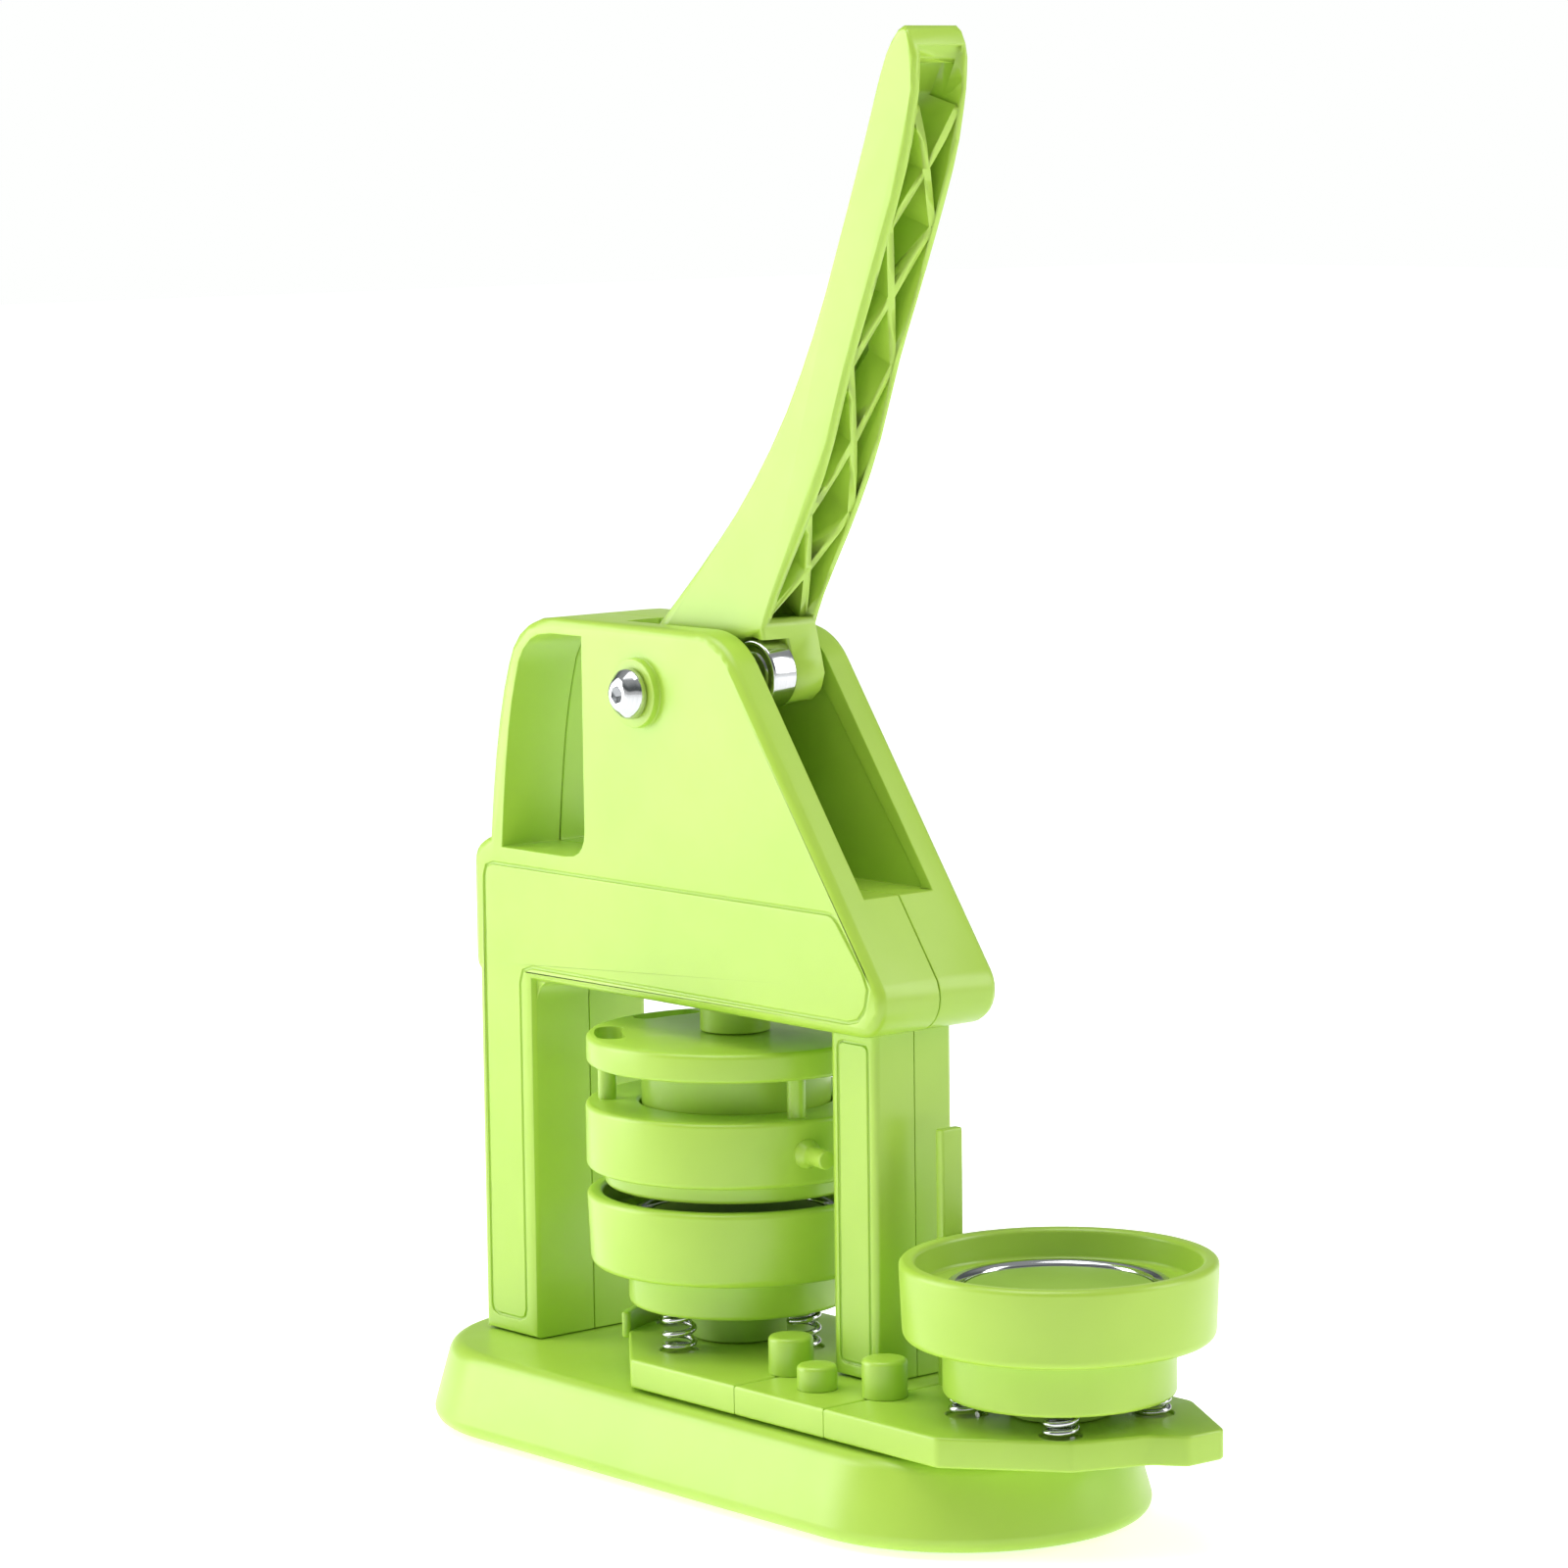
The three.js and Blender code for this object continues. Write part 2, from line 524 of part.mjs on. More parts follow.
// One half of the frame: side is -1 for the front shell and +1 for the rear one.
function frameShell(side) {
  const part = FIT / 2;
  const span = (near, far) => (side < 0 ? [-far, -near] : [near, far]);
  const layer = (shape, near, far) => plateXZ(shape, ...span(near, far));
  const slab = (x0, x1, near, far, z0, z1) => block(x0, x1, ...span(near, far), z0, z1);
  const peg = (radius, x, z, near, far, sides) => crossRod(radius, x, z, ...span(near, far), sides);
  const legHalf = RIGHT_LEG_WIDTH / 2;
  const legFace = RIGHT_LEG_DEPTH / 2;

  // outer form: housing, both legs, the collar under the bolt and a fillet at the left leg's root
  const half = side < 0 ? block(-200, 200, -FACE - 9, -part, 0, 400) : block(-200, 200, part, FACE + 9, 0, 400);
  const leg = (x0, x1, face, bottom) => softPlateXZ(outline([
    [x0, bottom], [x1, bottom], [x1, UNDERSIDE + 8], [x0, UNDERSIDE + 8],
  ]), -face, face, LEG_EDGE);
  const root = cut(
    slab(LEFT_LEG_RIGHT - 4, LEFT_LEG_RIGHT + ROOT_FILLET, part, FACE - EDGE_FILLET, UNDERSIDE - ROOT_FILLET,
      UNDERSIDE + 2),
    peg(ROOT_FILLET, LEFT_LEG_RIGHT + ROOT_FILLET, UNDERSIDE - ROOT_FILLET, -1, FACE + 1, 20),
  );
  let body = join(
    softPlateXZ(frameOutline(), -FACE, FACE, EDGE_FILLET),
    leg(LEFT_LEG_LEFT, LEFT_LEG_RIGHT, FACE, FRAME_BOTTOM),
    leg(SWIVEL_X - legHalf, SWIVEL_X + legHalf, legFace, RIGHT_LEG_BOTTOM),
  ).intersect(half);
  body = join(body, root,
    peg(COLLAR_RADIUS, LEVER_PIVOT_X, TABLE + LEVER_PIVOT_Z, FACE - 1, FACE + COLLAR_HEIGHT, 28));

  // hollow: the machine room, the block and the left leg, open at the parting face; above the slot's
  // floor the room is as narrow as the ram's head lets it be
  const roof = FACE - WALL;
  const upper = RAM_HEAD_RADIUS + SLIDE;
  const shelf = TABLE + SLOT_FLOOR;
  const left = HOLD_RIGHT + WALL;
  const ramSide = RAM_X + RAM_HEAD_RADIUS + 2;
  const lowRoom = rounded([
    [left, UNDERSIDE + WALL, 2], [NOSE_X - 1, UNDERSIDE + WALL, 5], [slopeX(NOSE_Z + 6, WALL), NOSE_Z + 6, 4],
    [slopeX(shelf - WALL, WALL), shelf - WALL, 2], [ramSide, shelf - WALL, 2], [ramSide, shelf - 1, 0],
    [left, shelf - 1, 0],
  ]);
  const highRoom = rounded([
    [left, shelf - 2, 0], [ramSide, shelf - 2, 0], [ramSide, shelf, 0], [slopeX(shelf, WALL), shelf, 1],
    [slopeX(FRAME_TOP - WALL, WALL) - 4, FRAME_TOP - WALL, 14], [left, FRAME_TOP - WALL, 2],
  ]);
  const under = TABLE + HOLD_FLOOR - WALL;
  body = cut(
    body,
    layer(lowRoom, part - 1, roof),
    layer(highRoom, part - 1, upper),
    slab(BLOCK_LEFT + WALL, left + 1, part - 1, roof, UNDERSIDE + WALL, under),
    slab(LEFT_LEG_LEFT + WALL, LEFT_LEG_RIGHT - WALL, part - 1, roof, FRAME_BOTTOM + 26, UNDERSIDE + WALL + 1),
    layer(holdOutline(0), part - 1, FACE + 2),
  );

  // bosses inside, then every hole
  const inside = [
    peg(COLLAR_RADIUS, LEVER_PIVOT_X, TABLE + LEVER_PIVOT_Z, SLOT_WIDTH / 2, roof + 0.5, 24),
    slab(RAM_X - GUIDE_FLANGE_RADIUS - 4, RAM_X + GUIDE_FLANGE_RADIUS + 4, part, roof + 0.5,
      UNDERSIDE + 1, UNDERSIDE + 13),
  ];
  const bosses = FRAME_SCREWS.slice(0, -1).map(([x, z]) => (
    peg(SCREW_BOSS_RADIUS, x, z, part, roof + 0.5, SMALL_ROUND)));
  body = join(body, ...inside, ...bosses);
  const slot = outline([
    [SLOT_START, TABLE + LEVER_PIVOT_Z - 20], [SLOT_START, FRAME_TOP + 5], [80, FRAME_TOP + 5],
    [80, shelf], [slopeX(shelf, WALL + 6), shelf], [slopeX(shelf + 30, WALL + 6), shelf + 30],
  ]);
  const guideHole = rod(GUIDE_FLANGE_RADIUS + FIT, RAM_X, 0, UNDERSIDE + 5, UNDERSIDE + 5 + GUIDE_FLANGE + 2 * FIT);
  const holes = [
    layer(slot, part - 1, SLOT_WIDTH / 2),
    peg(BOLT_RADIUS + FIT, LEVER_PIVOT_X, TABLE + LEVER_PIVOT_Z, -1, FACE + 4, 24),
    guideHole,
    rod(RAM_RADIUS + 3 + FIT, RAM_X, 0, UNDERSIDE - 2, UNDERSIDE + 15, 32),
    rod(SWIVEL_PIN_RADIUS + FIT, SWIVEL_X, 0, RIGHT_LEG_BOTTOM - 1, PIN_TOP + FIT, 24),
    ...LEG_BOLT_Y.map((y) => rod(SCREW_RADIUS + FIT, LEG_BOLT_X, y, FRAME_BOTTOM - 1, FRAME_BOTTOM + 30, 12)),
  ];
  const screwHoles = FRAME_SCREWS.map(([x, z]) => (side > 0
    ? peg(SCREW_RADIUS + FIT, x, z, -1, FACE + 2, 12)
    : peg(SCREW_RADIUS + FIT, x, z, -1, 9, 12)));
  const seats = side > 0
    ? FRAME_SCREWS.map(([x, z], i) => peg(SCREW_HEAD_RADIUS + FIT, x, z,
      (i === FRAME_SCREWS.length - 1 ? legFace : FACE) - 3, FACE + 2, SMALL_ROUND))
    : [];
  body = cut(body, ...holes, ...screwHoles, ...seats);
  const panelDepth = FACE - GROOVE * 0.6;
  const legDepth = legFace - GROOVE * 0.6;
  const grooves = [
    grooveTool(panelGroove(), ...span(panelDepth, FACE + 1)),
    grooveTool(legGroove(), ...span(legDepth, legFace + 1)),
  ];
  return cut(body, ...grooves);
}

function makeFrame() {
  put("frame_front_shell", frameShell(-1), GREEN);
  put("frame_rear_shell", frameShell(1), GREEN);
  FRAME_SCREWS.forEach(([x, z], i) => {
    const face = i === FRAME_SCREWS.length - 1 ? RIGHT_LEG_DEPTH / 2 : FACE;
    const shank = crossRod(SCREW_RADIUS, x, z, -7, face - 2, 12);
    const head = crossRod(SCREW_HEAD_RADIUS, x, z, face - 3 + FIT, face - 0.6, SMALL_ROUND);
    put(`frame_screw_${i + 1}`, join(shank, head), ZINC);
  });
}

// ---------------------------------------------------------------- lever and its bolt
// The lever's outline as left and right edges from the root up to the tip, heights above the base.
const LEVER_BACK = [[-35.2, 203.7], [-15.9, 221.4], [1.6, 239.5], [17.6, 261], [30.6, 284.8], [40.6, 308],
  [49.4, 329.8], [56.1, 347.4]];
const LEVER_TIP = [[56.1, 347.4], [60.4, 356.6], [66.4, 361.8], [70.3, 355.6], [69.9, 345.5]];
const LEVER_FRONT = [[69.9, 345.5], [66.6, 330.7], [59.8, 313.1], [51.3, 293.5], [43.4, 275.8], [34.7, 252.7],
  [25.4, 234.7], [13.1, 214.6], [8.5, 205]];
const LEVER_BOSS_RADIUS = 11.6;

// The outline with its edges moved in by the inset: the back edge right, the front edge left.
function leverOutline(inset) {
  const px = LEVER_PIVOT_X;
  const pz = TABLE + LEVER_PIVOT_Z;
  const boss = LEVER_BOSS_RADIUS - inset;
  const at = (dx, dz) => ([x, h]) => new THREE.Vector2(x + dx * inset, TABLE + h - dz * inset);
  const shape = new THREE.Shape();
  shape.moveTo(px - boss, pz);
  shape.quadraticCurveTo(px - boss, pz + 9, LEVER_BACK[0][0] + 0.8 * inset, TABLE + LEVER_BACK[0][1] - 0.6 * inset);
  shape.splineThru(LEVER_BACK.slice(1).map(at(0.85, 0.5)));
  shape.splineThru(LEVER_TIP.slice(1).map(([x, h]) => new THREE.Vector2(
    x + (h > 361 ? -0.2 : Math.sign(63 - x)) * inset, TABLE + h - (h > 354 ? 0.9 : 0) * inset)));
  shape.splineThru(LEVER_FRONT.slice(1).map(at(-0.9, -0.4)));
  arc(shape, ROLLER_X, TABLE + ROLLER_Z, FORK_RADIUS - inset, 30, -100, true);
  shape.lineTo(px + boss * 0.64, pz - boss * 0.77);
  arc(shape, px, pz, boss, -50, -180, true);
  shape.closePath();
  return shape;
}

// The lattice crossings in the lever's channel, from the root up: [x, height above the base].
const LATTICE_NODES = [[0, 210], [21.2, 238.1], [40.8, 275.7], [54.4, 311.9], [62.7, 342.8]];
const RIB = 2.3;
const TIP_CHANNEL = 356.6; // upper end of the channel

function leverArm() {
  const half = LEVER_WIDTH / 2;
  const hollow = half - LEVER_FLANGE;
  const full = softPlateXZ(leverOutline(0), -half, half, LEVER_EDGE, 2, 1);
  // the channel opens towards +X: the outline without its web, pushed out past the right edge
  const channel = plateXZ(leverOutline(LEVER_WEB), -hollow, hollow, 2);
  const pushed = [0, 4, 8, 12].map((dx) => channel.translate([dx, 0, -dx * 0.35]));
  const tipGuard = block(-200, 200, -half, half, TABLE + TIP_CHANNEL, TABLE + 400);
  const rootGuard = block(-200, 200, -half, half, 0, TABLE + 207);
  let body = cut(full, cut(join(...pushed), tipGuard, rootGuard));
  // X ribs between the flanges
  const ribs = [];
  LATTICE_NODES.slice(0, -1).forEach(([x0, z0], i) => {
    const [x1, z1] = LATTICE_NODES[i + 1];
    const run = Math.hypot(x1 - x0, z1 - z0);
    const lean = Math.atan2(x1 - x0, z1 - z0);
    [1, -1].forEach((way) => {
      const geometry = new THREE.BoxGeometry(13.5, RIB, Math.hypot(run, 2 * hollow));
      geometry.rotateX(way * Math.atan2(2 * hollow, run));
      geometry.rotateY(lean);
      geometry.translate((x0 + x1) / 2, 0, TABLE + (z0 + z1) / 2);
      ribs.push(solid(geometry));
    });
  });
  const ribZone = plateXZ(leverOutline(0.5), -hollow - 0.5, hollow + 0.5, 2);
  body = join(body, ...ribs.map((rib) => rib.intersect(ribZone)));
  // notch for the roller, open to the front, and the two bores
  const fork = crossRod(ROLLER_RADIUS + 1, ROLLER_X, TABLE + ROLLER_Z, -half - 1, FORK_BACK, 32);
  const forkMouth = block(ROLLER_X - 1, ROLLER_X + 20, -half - 1, FORK_BACK, TABLE + 170, TABLE + ROLLER_Z + 9.6);
  body = cut(
    body, fork, forkMouth,
    crossRod(PIN_RADIUS + 0.3, ROLLER_X, TABLE + ROLLER_Z, -half - 1, half + 1, SMALL_ROUND),
    crossRod(BOLT_RADIUS + BUSH_WALL + FIT, LEVER_PIVOT_X, TABLE + LEVER_PIVOT_Z, -half - 1, half + 1, 24),
  );
  return body;
}

function makeLever() {
  const z = TABLE + LEVER_PIVOT_Z;
  put("lever_arm", leverArm(), GREEN);
  const bush = cut(
    crossRod(BOLT_RADIUS + BUSH_WALL, LEVER_PIVOT_X, z, -LEVER_WIDTH / 2, LEVER_WIDTH / 2, 24),
    crossRod(BOLT_RADIUS + FIT, LEVER_PIVOT_X, z, -LEVER_WIDTH, LEVER_WIDTH, 24),
  );
  put("lever_bush", bush, ZINC);
  const headBack = -FACE - COLLAR_HEIGHT - FIT;
  const nutBack = FACE + COLLAR_HEIGHT + FIT;
  const dome = new THREE.LatheGeometry([[0, 0], [BOLT_HEAD_RADIUS, 0], [BOLT_HEAD_RADIUS, 1.2],
    [BOLT_HEAD_RADIUS * 0.88, 0.62 * BOLT_HEAD_HEIGHT], [BOLT_HEAD_RADIUS * 0.58, 0.92 * BOLT_HEAD_HEIGHT],
    [BOLT_HEAD_RADIUS * 0.4, BOLT_HEAD_HEIGHT], [0, BOLT_HEAD_HEIGHT]].map(vec), 24);
  dome.rotateX(Math.PI).translate(LEVER_PIVOT_X, headBack, z);
  const hexSocket = crossRod(2.6, LEVER_PIVOT_X, z, headBack - BOLT_HEAD_HEIGHT - 1, headBack - 1.6, 6);
  const nutThickness = 6;
  const shank = crossRod(BOLT_RADIUS, LEVER_PIVOT_X, z, headBack - 0.5, nutBack + nutThickness + 1.5, 24);
  put("pivot_bolt", join(cut(solid(dome), hexSocket), cut(shank, hexSocket)), CHROME);
  const nut = cut(
    crossRod(7.5, LEVER_PIVOT_X, z, nutBack, nutBack + nutThickness, 6),
    crossRod(BOLT_RADIUS + FIT, LEVER_PIVOT_X, z, nutBack - 1, nutBack + nutThickness + 1, 24),
  );
  put("pivot_nut", nut, CHROME);
  put("roller_pin", crossRod(PIN_RADIUS, ROLLER_X, TABLE + ROLLER_Z, -LEVER_WIDTH / 2, LEVER_WIDTH / 2, SMALL_ROUND),
    ZINC);
  const roller = cut(
    crossRod(ROLLER_RADIUS, ROLLER_X, TABLE + ROLLER_Z, ROLLER_Y - ROLLER_WIDTH / 2, ROLLER_Y + ROLLER_WIDTH / 2, 32),
    crossRod(PIN_RADIUS + 0.3, ROLLER_X, TABLE + ROLLER_Z, -LEVER_WIDTH, LEVER_WIDTH, SMALL_ROUND),
  );
  put("roller", roller, CHROME);
}

// ---------------------------------------------------------------- ram and upper die
function polar(x, radius, degrees) {
  return [x + radius * Math.cos(rad(degrees)), radius * Math.sin(rad(degrees))];
}

// A ring slot round an axis: the band between two radii over a range of angles, with round ends.
function arcSlot(x, radius, width, from, to, z0, z1) {
  const shape = new THREE.Shape();
  const steps = 6;
  const edge = (r, a) => {
    const [px, py] = polar(x, r, a);
    return [px, py];
  };
  const points = [];
  for (let i = 0; i <= steps; i += 1) points.push(edge(radius + width / 2, from + ((to - from) * i) / steps));
  for (let i = steps; i >= 0; i -= 1) points.push(edge(radius - width / 2, from + ((to - from) * i) / steps));
  shape.setFromPoints(points.map(vec));
  const ends = [from, to].map((a) => rod(width / 2, ...polar(x, radius, a), z0, z1, SMALL_ROUND));
  return join(plateXY(shape, z0, z1), ...ends);
}

const POST_ANGLES = [0, 120, 240].map((a) => POST_ANGLE + a);
const DISC_BOTTOM = DISC_TOP - DISC_THICKNESS;
const SCREW_BORE = 2.5;
const SPRING_SEAT_INNER = RAM_RADIUS + 2;
const RING_SPRING_OUTER = 17;
const RING_SPRING_INNER = 14.6;
const WASHER_THICKNESS = 1;

const POST_POCKET = RING_LIFT + 1; // depth of a post's pocket in the disc
const KIDNEY_ANGLES = [-127, 174]; // middle of each sight slot through the disc
const KIDNEY_HALF = 11;
const KIDNEY_CIRCLE = 34.6;
const KIDNEY_WIDTH = 7.6;

function makeRam() {
  const z = (h) => TABLE + h;
  const headBottom = RAM_TOP - RAM_HEAD_THICKNESS;
  const plunger = turned([
    [0, z(DISC_TOP + FIT)], [RAM_RADIUS, z(DISC_TOP + FIT)], [RAM_RADIUS, z(headBottom)],
    [RAM_HEAD_RADIUS, z(headBottom)], [RAM_HEAD_RADIUS, z(RAM_TOP - 1)],
    [RAM_HEAD_RADIUS - 1, z(RAM_TOP)], [0, z(RAM_TOP)],
  ], RAM_X, 0);
  const bore = rod(SCREW_BORE + FIT, RAM_X, 0, z(DISC_TOP - 1), z(DISC_TOP + 22), 12);
  const seat = rod(RAM_RADIUS + FIT, RAM_X, 0, z(RAM_TOP - WEAR_DISC - FIT), z(RAM_TOP + 1), 24);
  put("ram_plunger", cut(plunger, bore, seat), GREEN);
  put("ram_wear_disc", rod(RAM_RADIUS, RAM_X, 0, z(RAM_TOP - WEAR_DISC), z(RAM_TOP), 24), ZINC);

  const guideBottom = UNDERSIDE + 1;
  const flangeZ = UNDERSIDE + 5 + FIT;
  const guide = turned([
    [RAM_RADIUS + SLIDE, guideBottom], [RAM_RADIUS + 3, guideBottom], [RAM_RADIUS + 3, flangeZ],
    [GUIDE_FLANGE_RADIUS, flangeZ], [GUIDE_FLANGE_RADIUS, flangeZ + GUIDE_FLANGE],
    [RAM_RADIUS + 3, flangeZ + GUIDE_FLANGE], [RAM_RADIUS + 3, guideBottom + GUIDE_HEIGHT],
    [RAM_RADIUS + SLIDE, guideBottom + GUIDE_HEIGHT],
  ], RAM_X, 0, 28);
  put("ram_guide", guide, NYLON);
  put("ram_return_spring", coilSpring(RAM_HEAD_RADIUS - 0.3, RETURN_WIRE, 6, RAM_X, 0,
    guideBottom + GUIDE_HEIGHT + FIT, z(headBottom) - FIT, 4, 9), CHROME);

  // top disc: hollow boss, blind arc pockets for the posts and two sight slots
  const disc = turned(ringProfile(SCREW_BORE + FIT, DISC_RADIUS, z(DISC_BOTTOM), z(DISC_TOP), 1.3), RAM_X, 0,
    DIE_ROUND);
  const boss = turned(ringProfile(20.5, BOSS_RADIUS, z(BOSS_BOTTOM), z(DISC_BOTTOM) + 1), RAM_X, 0, ROUND);
  const pockets = POST_ANGLES.map((a) => arcSlot(RAM_X, POST_CIRCLE, 2 * (POST_RADIUS + SLIDE), a,
    a + RING_TURN, z(DISC_BOTTOM - 1), z(DISC_BOTTOM + POST_POCKET)));
  const kidneys = KIDNEY_ANGLES.map((a) => arcSlot(RAM_X, KIDNEY_CIRCLE, KIDNEY_WIDTH, a - KIDNEY_HALF,
    a + KIDNEY_HALF, z(DISC_BOTTOM - 1), z(DISC_TOP + 1)));
  put("upper_die_disc", cut(join(disc, boss), ...pockets, ...kidneys), GREEN);

  // the pressing face and the stem that hangs it under the disc
  const webBottom = RING_WEB_TOP - RING_WEB;
  const faceRadius = STEEL_RING_OUTER - 1.8;
  const core = turned([
    [SCREW_BORE + FIT, z(DIE_FACE)], [faceRadius, z(DIE_FACE)], [faceRadius, z(webBottom - FIT)],
    [RAM_RADIUS, z(webBottom - FIT)], [RAM_RADIUS, z(DISC_BOTTOM - FIT)], [SCREW_BORE + FIT, z(DISC_BOTTOM - FIT)],
  ], RAM_X, 0, ROUND);
  const counterbore = rod(5.2, RAM_X, 0, z(DIE_FACE - 1), z(DIE_FACE + 3.4), SMALL_ROUND);
  put("upper_die_core", cut(core, counterbore), DARK_GREEN);
  const screw = join(
    rod(SCREW_BORE, RAM_X, 0, z(DIE_FACE + 0.5), z(DISC_TOP + 20), 12),
    rod(4.8, RAM_X, 0, z(DIE_FACE + 0.5), z(DIE_FACE + 3.1), SMALL_ROUND),
  );
  put("upper_die_screw", screw, ZINC);

  const washer = turned(ringProfile(RING_SPRING_INNER - 2, RING_SPRING_OUTER + 1.5, z(RING_WEB_TOP + FIT),
    z(RING_WEB_TOP + FIT + WASHER_THICKNESS)), RAM_X, 0, 24);
  put("ring_thrust_washer", washer, ZINC);
  put("ring_spring", coilSpring(RING_SPRING_OUTER, RING_SPRING_OUTER - RING_SPRING_INNER, 3.5, RAM_X, 0,
    z(RING_WEB_TOP + 2 * FIT + WASHER_THICKNESS), z(DISC_BOTTOM - FIT), 4, 10), CHROME);

  // crimp ring: outer wall, lip, inner web, posts and the flared side peg
  const inner = faceRadius + 1;
  const ring = turned([
    [SPRING_SEAT_INNER, z(webBottom)], [inner, z(webBottom)], [inner, z(LIP_BOTTOM)], [LIP_RADIUS - 1, z(LIP_BOTTOM)],
    [LIP_RADIUS, z(LIP_BOTTOM + 1)], [LIP_RADIUS, z(RING_BOTTOM)], [DIE_RADIUS - 1, z(RING_BOTTOM)],
    [DIE_RADIUS, z(RING_BOTTOM + 1)], [DIE_RADIUS, z(RING_TOP - 1)], [DIE_RADIUS - 1, z(RING_TOP)],
    [BOSS_RADIUS + SLIDE, z(RING_TOP)], [BOSS_RADIUS + SLIDE, z(RING_WEB_TOP)], [SPRING_SEAT_INNER, z(RING_WEB_TOP)],
  ], RAM_X, 0, DIE_ROUND);
  const posts = POST_ANGLES.map((a) => rod(POST_RADIUS, ...polar(RAM_X, POST_CIRCLE, a), z(RING_TOP - 1),
    z(DISC_BOTTOM + 0.4), 12));
  const start = DIE_RADIUS - 2;
  const pegLength = SIDE_PEG_REACH - start;
  const sidePeg = new THREE.LatheGeometry([[0, 0], [3.5, 0], [3.5, 2.2], [2.6, 4], [2.5, pegLength],
    [0, pegLength]].map(vec), SMALL_ROUND);
  sidePeg.rotateZ(-Math.PI / 2).translate(start, 0, 0).rotateZ(rad(POST_ANGLE));
  sidePeg.translate(RAM_X, 0, z((RING_TOP + RING_BOTTOM) / 2));
  put("crimp_ring", join(ring, ...posts, solid(sidePeg)), GREEN);
}

// ---------------------------------------------------------------- swinging plate
// The end of a carrier as corners [x from the swivel axis, y, rounding], for the +X side.
function carrierCorners() {
  return [
    [PLATE_SPLIT + FIT / 2, -PLATE_FRONT, 0], [PLATE_CORNER, -PLATE_FRONT, 3],
    [PLATE_NECK, -19.2, 2.5], [PLATE_NECK + 4, -10, 5], [PLATE_NECK + 8, 0.4, 5],
    [PLATE_END - 0.6, 6.2, 2.5], [PLATE_END, 18.6, 2.5], [77, PLATE_REAR, 6],
    [PLATE_SPLIT + FIT / 2, PLATE_REAR, 0],
  ];
}

